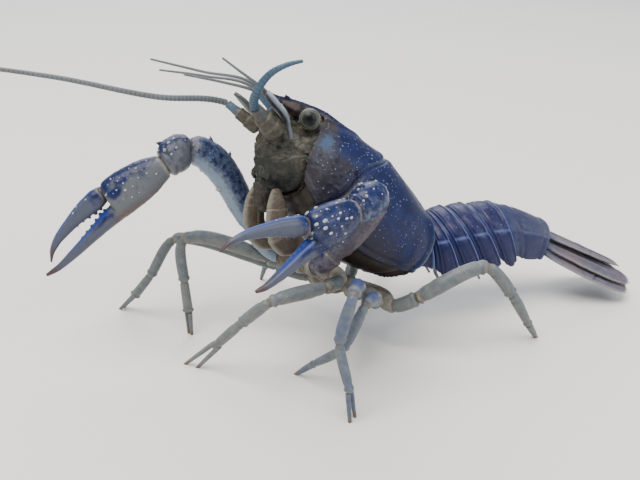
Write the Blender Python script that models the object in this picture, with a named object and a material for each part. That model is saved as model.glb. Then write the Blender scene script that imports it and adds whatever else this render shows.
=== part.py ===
# Red swamp crayfish, blue colour form: a still, life-size model that stands on its
# walking legs with its head raised, its claws held forward and its tail fan just off the floor.
# Lengths are millimetres in the pose's own frame: X to the tail, Y to the animal's right
# side, Z up from the floor. place() turns them into metres about the part's origin.

import math

import bpy
import bmesh
import numpy as np

MM = 0.001
GAP = 0.3
CENTRE_X, CENTRE_Y = -4.54, 10.46

# The thorax: the middle of the carapace's rear edge, and how the body is tilted and turned.
THORAX_AT = np.array((16.2, 14.0, 17.2))
THORAX_PITCH, THORAX_YAW, THORAX_ROLL = 46.0, 24.0, 14.0
# The abdomen leaves the thorax almost level and turns a little less.
ABDOMEN_AT = np.array((21.7, 17.7, 16.6))
ABDOMEN_YAW = 16.0


# Colours and finishes

FINISHES = {
    "carapace_blue": ((0.020, 0.036, 0.150, 1.0), 0.38),
    "face_olive": ((0.130, 0.120, 0.090, 1.0), 0.50),
    "belly_tan": ((0.200, 0.150, 0.105, 1.0), 0.55),
    "abdomen_blue": ((0.045, 0.055, 0.250, 1.0), 0.40),
    "tail_violet": ((0.160, 0.150, 0.230, 1.0), 0.42),
    "claw_blue": ((0.025, 0.055, 0.220, 1.0), 0.38),
    "finger_lavender": ((0.200, 0.195, 0.370, 1.0), 0.40),
    "leg_grey": ((0.270, 0.330, 0.340, 1.0), 0.42),
    "antenna_blue": ((0.210, 0.370, 0.480, 1.0), 0.40),
    "eye_black": ((0.012, 0.012, 0.015, 1.0), 0.10),
}


def finish(name):
    """A Principled material for one finish of the shell."""
    if name in bpy.data.materials:
        return bpy.data.materials[name]
    colour, roughness = FINISHES[name]
    material = bpy.data.materials.new(name)
    material.use_nodes = True
    shader = material.node_tree.nodes["Principled BSDF"]
    shader.inputs["Base Color"].default_value = colour
    shader.inputs["Roughness"].default_value = roughness
    shader.inputs["Metallic"].default_value = 0.0
    return material


# Vectors, frames and curves

def unit(vector):
    vector = np.asarray(vector, float)
    return vector / np.linalg.norm(vector)


def heading(azimuth, elevation):
    """The unit vector at an azimuth from +X and an elevation from the floor, in degrees."""
    a, e = math.radians(azimuth), math.radians(elevation)
    return np.array((math.cos(e) * math.cos(a), math.cos(e) * math.sin(a), math.sin(e)))


def body_axes(pitch, yaw, roll):
    """Forward, left and up of a body whose head points to -X."""
    forward = heading(180.0 + yaw, pitch)
    left = heading(yaw - 90.0, 0.0)
    up = np.cross(forward, left)
    r = math.radians(roll)
    return np.array((forward, left * math.cos(r) + up * math.sin(r), up * math.cos(r) - left * math.sin(r)))


THORAX_AXES = body_axes(THORAX_PITCH, THORAX_YAW, THORAX_ROLL)


def thorax(u, v, w):
    """The point u forward, v to the left and w above the middle of the carapace's rear edge."""
    return THORAX_AT + np.asarray((u, v, w), float) @ THORAX_AXES


def smooth(table, x):
    """Values at x on a smooth curve through rows of (x, value, ...), with no overshoot."""
    rows = np.array(table, float)
    knots, values = rows[:, 0], rows[:, 1:]
    width = np.diff(knots)[:, None]
    slope = np.diff(values, axis=0) / width
    tangent = np.zeros_like(values)
    tangent[0], tangent[-1] = slope[0], slope[-1]
    before, after = slope[:-1], slope[1:]
    same_way = before * after > 0
    safe = np.where(same_way, before + after, 1.0)
    tangent[1:-1] = np.where(same_way, 2 * before * after / safe, 0.0)
    x = np.clip(np.atleast_1d(np.asarray(x, float)), knots[0], knots[-1])
    i = np.clip(np.searchsorted(knots, x, side="right") - 1, 0, len(knots) - 2)
    f = ((x - knots[i]) / width[i, 0])[:, None]
    blend = 3 * f**2 - 2 * f**3
    return (values[i] * (1 - blend) + values[i + 1] * blend
            + width[i] * ((f - 2 * f**2 + f**3) * tangent[i] + (f**3 - f**2) * tangent[i + 1]))


def path(points, ways, stations, reach=0.36):
    """Centres and ways at stations (0 at the first point, 1 at the second ...) of a smooth path."""
    centres, turned = [], []
    for station in stations:
        i = min(int(station), len(points) - 2)
        t = station - i
        a, d = points[i], points[i + 1]
        length = np.linalg.norm(d - a)
        b = a + ways[i] * length * reach
        c = d - ways[i + 1] * length * reach
        s = 1 - t
        centres.append(s**3 * a + 3 * s * s * t * b + 3 * s * t * t * c + t**3 * d)
        turned.append(unit(s * s * (b - a) + 2 * s * t * (c - b) + t * t * (d - c)))
    return centres, turned


def square_to(vector, way):
    """The unit vector nearest to vector that is square to way."""
    return unit(vector - np.dot(vector, way) * way)


def joint_ways(points):
    """The way at each joint: along the first and last links, halfway between links elsewhere."""
    links = [unit(b - a) for a, b in zip(points, points[1:])]
    return [links[0]] + [unit(a + b) for a, b in zip(links, links[1:])] + [links[-1]]


def chain(base, links):
    """Joint points of a limb from its base and its links of (length, azimuth, elevation)."""
    points = [np.asarray(base, float)]
    for length, azimuth, elevation in links:
        points.append(points[-1] + length * heading(azimuth, elevation))
    return points


# Sections and skins

def oval(count, half_width, top, bottom, square=1.0):
    """Points (side, up) round an oval section; square under 1 makes its corners fuller."""
    angle = 2 * np.pi * (np.arange(count) + 0.5) / count
    side, up = np.cos(angle), np.sin(angle)
    side = half_width * np.sign(side) * np.abs(side) ** square
    up = np.sign(up) * np.abs(up) ** square
    return np.column_stack((side, np.where(up > 0, up * top, up * bottom)))


def skin(rings):
    """Points and faces of one closed skin through like rings, each end closed by a fan."""
    count, last = len(rings[0]), (len(rings) - 1) * len(rings[0])
    points = np.vstack(list(rings) + [np.mean(rings[0], axis=0), np.mean(rings[-1], axis=0)])
    start, end = len(points) - 2, len(points) - 1
    faces = []
    for i in range(count):
        k = (i + 1) % count
        for row in range(0, last, count):
            faces.append((row + i, row + k, row + count + k, row + count + i))
        faces.append((start, k, i))
        faces.append((end, last + i, last + k))
    return points, faces


def sweep(centres, ways, hint, sections):
    """Rings that carry each (side, up) section square to a path; hint gives its side."""
    rings = []
    for centre, way, section in zip(centres, ways, sections):
        side = square_to(hint, way)
        up = np.cross(way, side)
        rings.append(centre + section[:, :1] * side + section[:, 1:2] * up)
    return rings


def onto_plane(ring, point, normal, way):
    """A ring slid along its way onto the plane through point that is square to normal."""
    return ring - way * ((ring - point) @ normal / (way @ normal))[:, None]


def tube(points, ways, hint, table, stations, count, reach=0.36, face=None, floor=False):
    """A closed limb piece: table rows are (station, half width, half height).

    face turns its first ring square to another way; floor cuts its end flat on the floor."""
    centres, turned = path(points, ways, stations, reach)
    sizes = smooth(table, stations)
    sections = [oval(count, a, b, b) for a, b in sizes]
    rings = sweep(centres, turned, np.asarray(hint, float), sections)
    if face is not None:
        rings[0] = onto_plane(rings[0], centres[0], face, turned[0])
    if floor:
        rings[-1] = onto_plane(rings[-1], np.zeros(3), np.array((0.0, 0.0, 1.0)), turned[-1])
    return skin(rings)


def trimmed(points, ways, first=True, last=True):
    """Joint points drawn in by half the joint gap at the ends that meet another piece."""
    moved = [p.copy() for p in points]
    if first:
        moved[0] = moved[0] + ways[0] * GAP / 2
    if last:
        moved[-1] = moved[-1] - ways[-1] * GAP / 2
    return moved


def cone(at, way, radius, length, sunk, count=5):
    """A spine: a small cone whose root is sunk behind the point it stands on."""
    way = unit(way)
    side = unit(np.cross(way, (0.31, 0.53, 0.79)))
    up = np.cross(way, side)
    angle = 2 * np.pi * np.arange(count) / count
    circle = np.cos(angle)[:, None] * side + np.sin(angle)[:, None] * up
    base = at - way * sunk
    rings = [base + circle * radius * 0.9, at + circle * radius, at + way * length * 0.7 + circle * radius * 0.4]
    points, faces = skin(rings)
    points[-1] = at + way * length
    return points, faces


# Objects

def place(points):
    """Metres in the part's frame from millimetres in the pose's frame."""
    return (np.asarray(points, float) - (CENTRE_X, CENTRE_Y, 0.0)) * MM


def mesh_object(name, skin_parts, anchor):
    points, faces = skin_parts
    mesh = bpy.data.meshes.new(name)
    mesh.from_pydata([tuple(p) for p in place(points) - anchor], [], faces)
    mesh.update()
    work = bmesh.new()
    work.from_mesh(mesh)
    bmesh.ops.recalc_face_normals(work, faces=work.faces)
    work.to_mesh(mesh)
    work.free()
    item = bpy.data.objects.new(name, mesh)
    item.location = anchor
    bpy.context.scene.collection.objects.link(item)
    return item


def largest_surface(item):
    """Keep only the object's largest closed surface."""
    work = bmesh.new()
    work.from_mesh(item.data)
    left = set(work.verts)
    groups = []
    while left:
        stack = [left.pop()]
        group = set(stack)
        while stack:
            for edge in stack.pop().link_edges:
                for vert in edge.verts:
                    if vert in left:
                        left.discard(vert)
                        group.add(vert)
                        stack.append(vert)
        groups.append(group)
    groups.sort(key=len)
    loose = [vert for group in groups[:-1] for vert in group]
    bmesh.ops.delete(work, geom=loose, context="VERTS")
    work.to_mesh(item.data)
    work.free()


def node(name, parts, finish_name, root, fused=(), sharp=35.0):
    """One named node: a closed skin, with the closed pieces in fused joined to it."""
    anchor = place(root)
    item = mesh_object(name, parts, anchor)
    if fused:
        group = bpy.data.collections.new(name + "_fused")
        extra = [mesh_object(f"{name}_piece_{i}", piece, anchor) for i, piece in enumerate(fused)]
        for piece in extra:
            group.objects.link(piece)
        union = item.modifiers.new("fused", "BOOLEAN")
        union.operation = "UNION"
        union.operand_type = "COLLECTION"
        union.collection = group
        union.solver = "MANIFOLD"
        bpy.context.view_layer.update()
        joined = bpy.data.meshes.new_from_object(item.evaluated_get(bpy.context.evaluated_depsgraph_get()))
        item.modifiers.remove(union)
        item.data = joined
        item.data.name = name
        for piece in extra:
            bpy.data.objects.remove(piece)
        bpy.data.collections.remove(group)
        largest_surface(item)
    item.data.materials.clear()
    item.data.materials.append(finish(finish_name))
    item.data.shade_smooth()
    item.data.set_sharp_from_angle(angle=math.radians(sharp))
    item.parent = POSE
    return item


# Carapace: one shell over head and thorax, with a cervical groove and a rostrum

# Rows: u, half width, top, lower edge below the axis.
CARAPACE = [
    (-3.0, 8.2, 7.0, 6.6), (0.0, 9.0, 8.5, 8.0), (4.0, 9.9, 9.2, 9.8), (11.0, 10.5, 10.1, 11.6),
    (17.5, 10.2, 10.7, 12.2), (22.0, 9.4, 10.1, 11.6), (26.0, 8.7, 9.6, 10.4), (31.0, 7.4, 8.5, 8.4),
    (35.0, 6.4, 7.4, 6.8)]
# Rows: angle from the back's midline, then where the rear edge, the groove and the front edge lie.
CARAPACE_EDGES = [
    (0.0, 0.0, 16.6, 33.4), (35.0, -0.4, 18.2, 33.6), (70.0, -1.6, 22.2, 34.0), (95.0, -1.8, 23.4, 33.6),
    (120.0, -0.8, 25.2, 31.5), (150.0, 1.0, 26.6, 30.0), (180.0, 1.6, 27.0, 29.6)]
GROOVE_DEPTH = 0.45
# Where the stations lie between rear edge (0), groove (1) and front edge (2), and how far in.
CARAPACE_STATIONS = [
    (0.0, 0.35), (0.035, 0.0), (0.14, 0.0), (0.3, 0.0), (0.48, 0.0), (0.66, 0.0), (0.82, 0.0), (0.93, 0.0),
    (1.0, 1.0), (1.05, 0.05), (1.2, 0.0), (1.4, 0.0), (1.6, 0.0), (1.8, 0.0), (1.95, 0.0), (2.0, 0.35)]
CARAPACE_COUNT = 40
REAR_FACE, FRONT_FACE = 1.6, 29.4
RECESS = 0.80


def carapace_point(station, angle, depth):
    """A point of the shell; angle in degrees from the back's midline, positive to the left."""
    rear, groove, front = smooth(CARAPACE_EDGES, abs(angle))[0]
    u = rear + (groove - rear) * station if station <= 1 else groove + (front - groove) * (station - 1)
    half, top, low = smooth(CARAPACE, u)[0]
    a = math.radians(angle)
    side, up = math.sin(a), math.cos(a)
    full = 0.92 if up > 0 else 0.70
    side = math.copysign(abs(side) ** full, side) * (half - depth)
    up = up**full * (top - depth) if up > 0 else -((-up) ** full) * (low - depth)
    return u, side, up


def carapace_ring(station, depth):
    angles = 180.0 - 360.0 * (np.arange(CARAPACE_COUNT) + 0.5) / CARAPACE_COUNT
    return np.array([carapace_point(station, angle, depth) for angle in angles])


def carapace_face(ring, u, scale):
    """A flat ring inside an edge of the shell, where the neighbouring piece fits in."""
    middle = np.array((0.0, ring[:, 1].mean(), ring[:, 2].mean()))
    flat = middle + (ring - middle) * scale
    flat[:, 0] = u
    return flat


# Rostrum rows: u, half width, top at the midline, raised margin, thickness.
ROSTRUM = [
    (28.0, 3.3, 9.0, 0.0, 3.0), (32.5, 3.2, 8.1, 0.25, 3.0), (36.0, 2.7, 6.9, 0.40, 2.9),
    (40.0, 1.75, 5.3, 0.35, 1.8), (41.6, 0.95, 4.7, 0.15, 1.2), (43.5, 0.30, 4.0, 0.0, 0.6)]
# Spines: station, angle, radius, length, pointing forward and outward.
CARAPACE_SPINES = [(1.10, 82.0, 0.55, 1.3), (1.86, 52.0, 0.45, 1.2), (1.92, 100.0, 0.45, 1.1)]


def rostrum_skin():
    rings = []
    for u in (28.0, 30.5, 32.5, 34.5, 36.5, 38.5, 40.2, 41.6, 42.6, 43.5):
        half, top, rim, thick = smooth(ROSTRUM, u)[0]
        ring = [(half, top + rim - 0.35), (half * 0.72, top + rim), (half * 0.3, top + rim * 0.1), (0, top),
                (-half * 0.3, top + rim * 0.1), (-half * 0.72, top + rim), (-half, top + rim - 0.35),
                (-half * 0.8, top - thick * 0.7), (0, top - thick), (half * 0.8, top - thick * 0.7)]
        rings.append(np.array([thorax(u, v, w) for v, w in ring]))
    return skin(rings)


def build_carapace():
    rings = [carapace_ring(station, depth * GROOVE_DEPTH) for station, depth in CARAPACE_STATIONS]
    rings.insert(0, carapace_face(rings[0], REAR_FACE, RECESS))
    rings.append(carapace_face(rings[-1], FRONT_FACE, RECESS))
    shell = skin([np.array([thorax(*p) for p in ring]) for ring in rings])
    fused = [rostrum_skin()]
    for station, angle, radius, length in CARAPACE_SPINES:
        for turn in (angle, -angle):
            at = thorax(*carapace_point(station, turn, 0.1))
            out = unit(at - thorax(carapace_point(station, turn, 0.0)[0], 0, 0))
            fused.append(cone(at, out + 1.6 * THORAX_AXES[0], radius, length, 0.5))
    for side in (1, -1):
        at = thorax(40.6, side * 1.5, 5.3)
        fused.append(cone(at, THORAX_AXES[0] + side * 0.35 * THORAX_AXES[1], 0.4, 1.0, 0.6))
    node("carapace", shell, "carapace_blue", THORAX_AT, fused)


# Head in front of the shell: epistome and jaws, eyes, feelers

# Rows: u, half width, top, bottom; it steps down under the feelers to the upper lip.
HEAD_FRONT = [
    (29.9, 4.0, 3.2, -7.4), (30.6, 4.4, 3.4, -7.9), (32.8, 4.4, 3.3, -7.9), (34.2, 4.3, 3.0, -8.2),
    (35.4, 4.1, 2.6, -8.8), (36.6, 3.8, 2.0, -7.8), (38.0, 3.4, 1.1, -6.2), (39.1, 3.2, 0.2, -4.8)]
# The narrow plate under the rostrum that carries the eyes and antennules.
EYE_PLATE = [(30.5, 2.2, 4.6, 0.0), (33.0, 2.2, 4.4, 0.0), (36.0, 2.0, 3.6, 0.0), (38.2, 1.5, 3.0, -0.5)]
# The inner jaws hang between the outer jaw limbs. Rows: u, half width, top, bottom.
JAWS = [(29.4, 1.2, -10.4, -12.2), (30.5, 1.6, -9.0, -13.4), (31.2, 1.7, -7.2, -13.6), (32.6, 1.7, -7.2, -13.4),
        (34.2, 1.4, -7.2, -12.0), (35.4, 0.9, -7.6, -10.4)]


def upright_skin(rows, count, square):
    """A closed skin through oval sections of rows (u, half width, top, bottom)."""
    rings = []
    for u, half, top, low in rows:
        middle, tall = (top + low) / 2, (top - low) / 2
        rings.append(np.array([thorax(u, v, middle + w) for v, w in oval(count, half, tall, tall, square)]))
    return skin(rings)


def build_head_front():
    shell = upright_skin(HEAD_FRONT, 20, 0.85)
    fused = [upright_skin(JAWS, 12, 0.85), upright_skin(EYE_PLATE, 12, 0.85)]
    node("head_front", shell, "face_olive", thorax(34, 0, 0), fused)


EYE_AT, EYE_RADIUS = (36.3, 5.2, 3.9), 1.95
STALK_FROM = (33.4, 2.9, 5.0)


def mirrored(place_in_body, side):
    u, v, w = place_in_body
    return thorax(u, v * side, w)


def build_eye(side, name):
    centre, root = mirrored(EYE_AT, side), mirrored(STALK_FROM, side)
    way = unit(centre - root)
    start = centre - way * 2.6
    centres, sections = [start, start + way * 0.7], [oval(14, 1.15, 1.15, 1.15), oval(14, 1.3, 1.3, 1.3)]
    for angle in (-50, -25, 0, 25, 50, 70, 84):
        a = math.radians(angle)
        centres.append(centre + way * EYE_RADIUS * math.sin(a))
        r = EYE_RADIUS * math.cos(a)
        sections.append(oval(14, r, r, r))
    rings = sweep(centres, [way] * len(centres), THORAX_AXES[0], sections)
    node("eye_" + name, skin(rings), "eye_black", centre)


PEDUNCLE_TIP = {"left": (45.6, 4.7, -1.6), "right": (45.8, 6.8, -0.6)}
PEDUNCLE_ROOT = {"left": (39.6, 3.7, -1.8), "right": (39.6, 3.5, -1.2)}
PEDUNCLE_SIZE = {"left": 1.0, "right": 0.7}
ANTENNULE_ROOT, ANTENNULE_TIP = (38.6, 1.35, 2.5), (43.6, 1.6, 3.1)
# Waypoints of the flagella; the near antenna is short and has grown back.
FLAGELLUM = {
    "left": {"points": [(-10.3, -7.4, 53.4), (-8.0, -8.6, 56.4), (-5.2, -9.0, 57.9), (-2.7, -9.0, 58.5)],
             "root": 0.85, "end": 0.28, "rings": 15},
    "right": {"points": [(-28.5, -1.0, 51.3), (-44.9, -4.5, 55.3), (-61.1, -8.0, 57.9), (-80.0, -12.0, 58.6)],
              "root": 0.62, "end": 0.25, "rings": 32}}
ANTENNULE_FLAGELLA = {
    "left": [[(-10.6, -0.6, 53.2), (-13.5, -1.9, 55.7), (-16.4, -2.6, 58.1)],
             [(-11.6, -1.6, 52.6), (-16.5, -4.4, 54.4), (-22.0, -8.0, 56.2)]],
    "right": [[(-12.0, 3.0, 52.9), (-20.7, 2.2, 55.1), (-29.3, 1.0, 57.4)],
              [(-12.2, 4.2, 52.1), (-20.9, 4.4, 54.0), (-28.7, 4.6, 55.0)]]}


def feeler(start, way, waypoints, root, end, count, sides):
    """A tapering whip from a start point through waypoints."""
    points = [np.asarray(start, float)] + [np.array(p, float) for p in waypoints]
    ways = joint_ways(points)
    ways[0] = unit(way + 2.0 * ways[0])
    last = len(points) - 1
    stations = np.linspace(0, last, count)
    sizes = smooth([(0, root), (last * 0.3, root * 0.82), (last, end)], stations)[:, 0]
    centres, turned = path(points, ways, stations)
    hint = np.array((0.0, 0.0, 1.0)) + 0.3 * THORAX_AXES[1]
    rings = sweep(centres, turned, hint, [oval(sides, r, r, r) for r in sizes])
    rings[0] = onto_plane(rings[0], points[0], way, turned[0])
    return skin(rings)


def build_feelers(side, name):
    """The antenna's peduncle and whip, its scale, and the antennule with its two whips."""
    base, tip = mirrored(PEDUNCLE_ROOT[name], side), mirrored(PEDUNCLE_TIP[name], side)
    way = unit(tip - base)
    size = PEDUNCLE_SIZE[name]
    table = [(0.0, 2.0, 1.9), (0.3, 2.1, 2.0), (0.38, 1.75, 1.7), (0.62, 1.75, 1.7), (0.7, 1.35, 1.3), (1.0, 1.1, 1.1)]
    table = [(t, a * size, b * size) for t, a, b in table]
    stations = (0, 0.12, 0.3, 0.38, 0.6, 0.7, 1.0)
    node("antenna_base_" + name, tube([base, tip], [way, way], THORAX_AXES[1], table, stations, 12), "face_olive", base)
    route = FLAGELLUM[name]
    start = tip + way * GAP
    whip = feeler(start, way, route["points"], route["root"], route["end"], route["rings"], 8)
    node("antenna_" + name, whip, "antenna_blue", start)
    # scale: a thin blade that lies over the peduncle
    rings = []
    for u in (37.2, 38.6, 40.0, 41.4, 42.8, 44.2, 45.4, 46.2):
        half, middle, rise = smooth(SCALE_BLADE, u)[0]
        ring = oval(10, half, SCALE_THICK, SCALE_THICK, 0.75)
        rings.append(np.array([thorax(u, side * (middle + v), rise + w) for v, w in ring]))
    node("antenna_scale_" + name, skin(rings), "face_olive", thorax(41, side * 5, 1))
    # antennule
    base, tip = mirrored(ANTENNULE_ROOT, side), mirrored(ANTENNULE_TIP, side)
    way = unit(tip - base)
    table = [(0.0, 0.9, 0.85), (0.45, 0.95, 0.9), (0.55, 0.75, 0.7), (1.0, 0.7, 0.7)]
    stem = tube([base, tip], [way, way], THORAX_AXES[1], table, (0, 0.25, 0.45, 0.55, 1.0), 10)
    whips = []
    for i, waypoints in enumerate(ANTENNULE_FLAGELLA[name]):
        root = tip - way * 0.7 + THORAX_AXES[1] * 0.28 * (1, -1)[i]
        whips.append(feeler(root, way, waypoints, 0.38, 0.18, 12, 6))
    node("antennule_" + name, stem, "antenna_blue", base, whips)


# Blade rows: u, half width, middle, height.
SCALE_BLADE = [
    (37.2, 0.6, 5.3, -1.2), (39.0, 0.75, 5.2, 0.05), (40.4, 0.95, 5.2, 0.95), (42.0, 1.5, 5.4, 1.11),
    (44.2, 1.5, 5.3, 1.33), (45.6, 0.9, 5.6, 1.47), (46.2, 0.35, 6.0, 1.53)]
SCALE_THICK = 0.36


# Third maxillipeds: the outer jaw limbs, folded under the face

MAXILLIPED = [(22.6, 3.2, -16.0), (27.7, 4.2, -15.6), (31.0, 4.2, -12.2), (32.9, 3.6, -9.6)]


def build_maxilliped(side, name):
    points = [mirrored(p, side) for p in MAXILLIPED]
    ways = joint_ways(points)
    table = [(0.0, 1.15, 1.35), (0.45, 1.5, 2.4), (0.95, 1.5, 2.4), (1.05, 1.4, 2.2), (1.5, 1.45, 2.2),
             (2.0, 1.25, 1.7), (2.3, 1.1, 1.3), (3.0, 0.75, 0.7)]
    stations = (0, 0.2, 0.5, 0.8, 0.95, 1.05, 1.3, 1.6, 1.9, 2.1, 2.5, 3.0)
    part = tube(trimmed(points, ways, last=False), ways, THORAX_AXES[1], table, stations, 10)
    node("maxilliped_" + name, part, "belly_tan", points[0])


# Limbs

# Where each limb leaves the sternum, u, v, w; the other side mirrors it.
LIMB_BASES = {
    "cheliped": (18.5, 6.2, -16.2), "leg_1": (13.3, 7.6, -15.7), "leg_2": (8.8, 8.0, -15.4),
    "leg_3": (4.0, 8.2, -14.4), "leg_4": (-1.5, 7.7, -12.2)}
SIDES = {"left": 1, "right": -1}
# Links of each walking leg: ischium with merus, carpus, propodus, dactyl.
LEG_LINKS = {
    ("leg_1", "left"): [(15.5, -142, 1), (7.9, 157, -42), (8.9, 154, -46), (8.4, 151, -45)],
    ("leg_2", "left"): [(19.0, -94, 25), (8.8, -152, -73), (8.7, -45, -74), (5.7, 9, -84)],
    ("leg_3", "left"): [(16.4, -100, 24), (9.4, 180, -65), (9.1, 142, -41), (5.8, 134, -42)],
    ("leg_4", "left"): [(19.5, -2, 26), (8.3, 8, -47), (8.9, 17, -58), (5.2, 40, -51)],
    ("leg_1", "right"): [(23.1, -178, 15), (8.7, -113, -83), (6.9, 0, -87), (5.4, 90, -87)],
    ("leg_2", "right"): [(29.2, 174, 14), (10.5, 172, -55), (7.4, 158, -50), (6.9, 144, -43)],
    ("leg_3", "right"): [(15.5, 127, 30), (8.3, 132, -52), (8.6, 122, -46), (4.9, 118, -58)],
    ("leg_4", "right"): [(18.5, 75, 14), (8.0, 62, -34), (9.0, 55, -28), (5.0, 50, -28)]}
LEG_RADIUS = {"leg_1": 1.50, "leg_2": 1.45, "leg_3": 1.40, "leg_4": 1.70}
# Share of a link over which a leg bends; a small one gives straight links and sharp knees.
LEG_REACH = 0.22
PINCER_LEGS = ("leg_1", "leg_2")
PINCER_SPREAD = {"left": 0.9, "right": 0.5}
# The leg whose pincer gapes along the leg, and how far each tip lies from its middle.
GAPING_LEG, GAPE = ("leg_1", "left"), 1.41


def root_way(limb, side, link):
    """The way a limb leaves the thorax: between straight out and its first link."""
    u, v, w = LIMB_BASES[limb]
    out = unit(mirrored((u, v, w), SIDES[side]) - mirrored((u, 2.4, w + 1.6), SIDES[side]))
    return unit(link + 0.9 * out)


def leg_points(leg, side):
    """Joint points of a leg whose last link is drawn out or in so that it ends on the floor."""
    points = chain(mirrored(LIMB_BASES[leg], SIDES[side]), LEG_LINKS[leg, side])
    last = points[-1] - points[-2]
    points[-1] = points[-2] - last * (points[-2][2] / last[2])
    return points


def toe(start, end, hint, root_radius, end_radius, face):
    """A last joint that tapers from start and is cut flat on the floor."""
    way = unit(end - start)
    table = [(0.0, root_radius, root_radius * 1.1), (0.4, root_radius * 0.9, root_radius), (1.0, end_radius, end_radius)]
    return tube([start, end], [way, way], hint, table, (0, 0.25, 0.5, 0.8, 1.0), 8, face=face, floor=True)


def build_leg(leg, side):
    points = leg_points(leg, side)
    ways = joint_ways(points)
    ways[0] = root_way(leg, side, ways[0])
    hint = np.cross(points[1] - points[0], points[3] - points[1])
    r = LEG_RADIUS[leg]
    # ischium and merus
    upper, upper_ways = points[:2], ways[:2]
    table = [(0.0, 0.80 * r, 0.85 * r), (0.24, 0.86 * r, 0.92 * r), (0.3, 0.80 * r, 0.88 * r), (0.5, 0.88 * r, r),
             (0.85, 0.78 * r, 0.92 * r), (1.0, 0.68 * r, 0.78 * r)]
    stations = (0, 0.12, 0.24, 0.3, 0.5, 0.7, 0.86, 1.0)
    part = tube(trimmed(upper, upper_ways), upper_ways, hint, table, stations, 10, LEG_REACH)
    node(f"{leg}_upper_{side}", part, "leg_grey", upper[0])
    # carpus and propodus, with the fixed finger on the legs that end in a small pincer
    pincer = leg in PINCER_LEGS
    middle, middle_ways = points[1:4], ways[1:4]
    table = [(0.0, 0.62 * r, 0.66 * r), (0.5, 0.70 * r, 0.78 * r), (0.85, 0.70 * r, 0.76 * r), (1.0, 0.58 * r, 0.62 * r),
             (1.3, 0.60 * r, 0.66 * r), (2.0, 0.42 * r, 0.46 * r)]
    if pincer:
        table[-1] = (2.0, 0.52 * r, 0.72 * r)
    stations = (0, 0.25, 0.5, 0.75, 0.92, 1.05, 1.3, 1.65, 2.0)
    part = tube(trimmed(middle, middle_ways), middle_ways, hint, table, stations, 10, LEG_REACH)
    way = ways[3]
    across = unit(np.cross(way, (0.0, 0.0, 1.0)))
    fused = []
    start, end = points[3] + way * GAP / 2, points[4]
    toe_radius, tip_radius = 0.42 * r, 0.25 * r
    if pincer:
        toe_radius, tip_radius = 0.31 * r, 0.22 * r
        offset, spread = across * 0.38 * r, across * PINCER_SPREAD[side]
        if (leg, side) == GAPING_LEG:
            offset, spread = unit(np.cross(across, way)) * 0.38 * r, unit(way * (1, 1, 0)) * GAPE
        fused.append(toe(points[3] - way * 0.9 - offset, end - spread, across, toe_radius, tip_radius, way))
        start, end = start + offset, end + spread
    node(f"{leg}_lower_{side}", part, "leg_grey", middle[0], fused)
    node(f"{leg}_toe_{side}", toe(start, end, across, toe_radius, tip_radius, way), "leg_grey", points[3])


# Claws

CLAW_LINKS = {
    "left": [(18.3, -20.7, 52.8), (6.8, -123.7, -2.3), (25.2, -146.6, -15.2)],
    "right": [(27.3, 169.7, 49.9), (6.2, -138.5, -21), (32.7, -161.2, -30.3)]}
CLAW_SIZE = {"left": 0.92, "right": 1.0}
PALM_END = 9.6
CLAW_UP = {"left": (0.10, 0.15, 1.0), "right": (-0.72, -0.10, 0.70)}
# Hand rows: distance from the wrist, lateral edge, mesial edge, half thickness. The palm
# ends in a flat face where the movable finger hinges; past it the fixed finger runs on.
HAND = [
    (0.0, -2.3, 2.3, 2.0), (1.5, -2.9, 3.1, 2.4), (4.0, -3.6, 3.8, 2.8), (7.0, -3.9, 4.1, 2.9),
    (9.0, -4.0, 3.9, 2.7), (PALM_END, -4.0, 3.5, 2.4), (PALM_END + 0.15, -4.0, -0.4, 2.0),
    (13.0, -4.2, -1.1, 1.7), (17.0, -4.6, -2.2, 1.4), (21.5, -5.1, -3.3, 1.1), (25.2, -5.3, -4.1, 0.75),
    (27.8, -4.9, -4.3, 0.35)]
HAND_STATIONS = (0.0, 1.2, 3.0, 5.2, 7.5, 9.0, PALM_END, PALM_END + 0.15, 12.0, 15.0, 18.5, 22.0, 24.6, 26.6, 27.8)
# How far the palm and the fixed finger reach, as shares of their rows.
PALM_REACH = {"left": 1.0, "right": 1.25}
FIXED_REACH = {"left": 0.72, "right": 0.97}
# Finger rows: distance from its hinge, mesial edge, biting edge, half thickness.
FINGER = [
    (0.0, 1.5, -1.7, 1.5), (1.5, 1.9, -1.9, 1.6), (4.0, 1.9, -1.5, 1.45), (7.5, 1.5, -1.0, 1.2),
    (11.0, 0.9, -0.9, 0.9), (13.6, -0.1, -1.3, 0.6), (15.6, -1.9, -2.3, 0.3)]
FINGER_REACH = {"left": 1.05, "right": 1.02}
FINGER_OPEN = {"left": 17.6, "right": -11.7}
HINGE_RISE = 2.2
# Tubercles along the palm's mesial edge, and spines of the arm and wrist: where they stand.
PALM_TUBERCLES = (1.4, 2.7, 4.0, 5.3, 6.6, 7.9)
ARM_SPINES = (0.62, 0.76, 0.90)
# Wrist spines: station, angle from the mesial side, radius, length.
WRIST_SPINES = [(0.62, 0.0, 0.55, 1.6), (0.42, 25.0, 0.42, 0.8), (0.78, -40.0, 0.42, 0.8)]


def claw_frame(side):
    """Wrist point and the axes of the hand: along it, towards its movable finger, across."""
    points = chain(mirrored(LIMB_BASES["cheliped"], SIDES[side]), CLAW_LINKS[side])
    along = unit(points[3] - points[2])
    up = np.array(CLAW_UP[side])
    mesial = unit(up - np.dot(up, along) * along)
    return points, along, mesial, np.cross(along, mesial)


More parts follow.
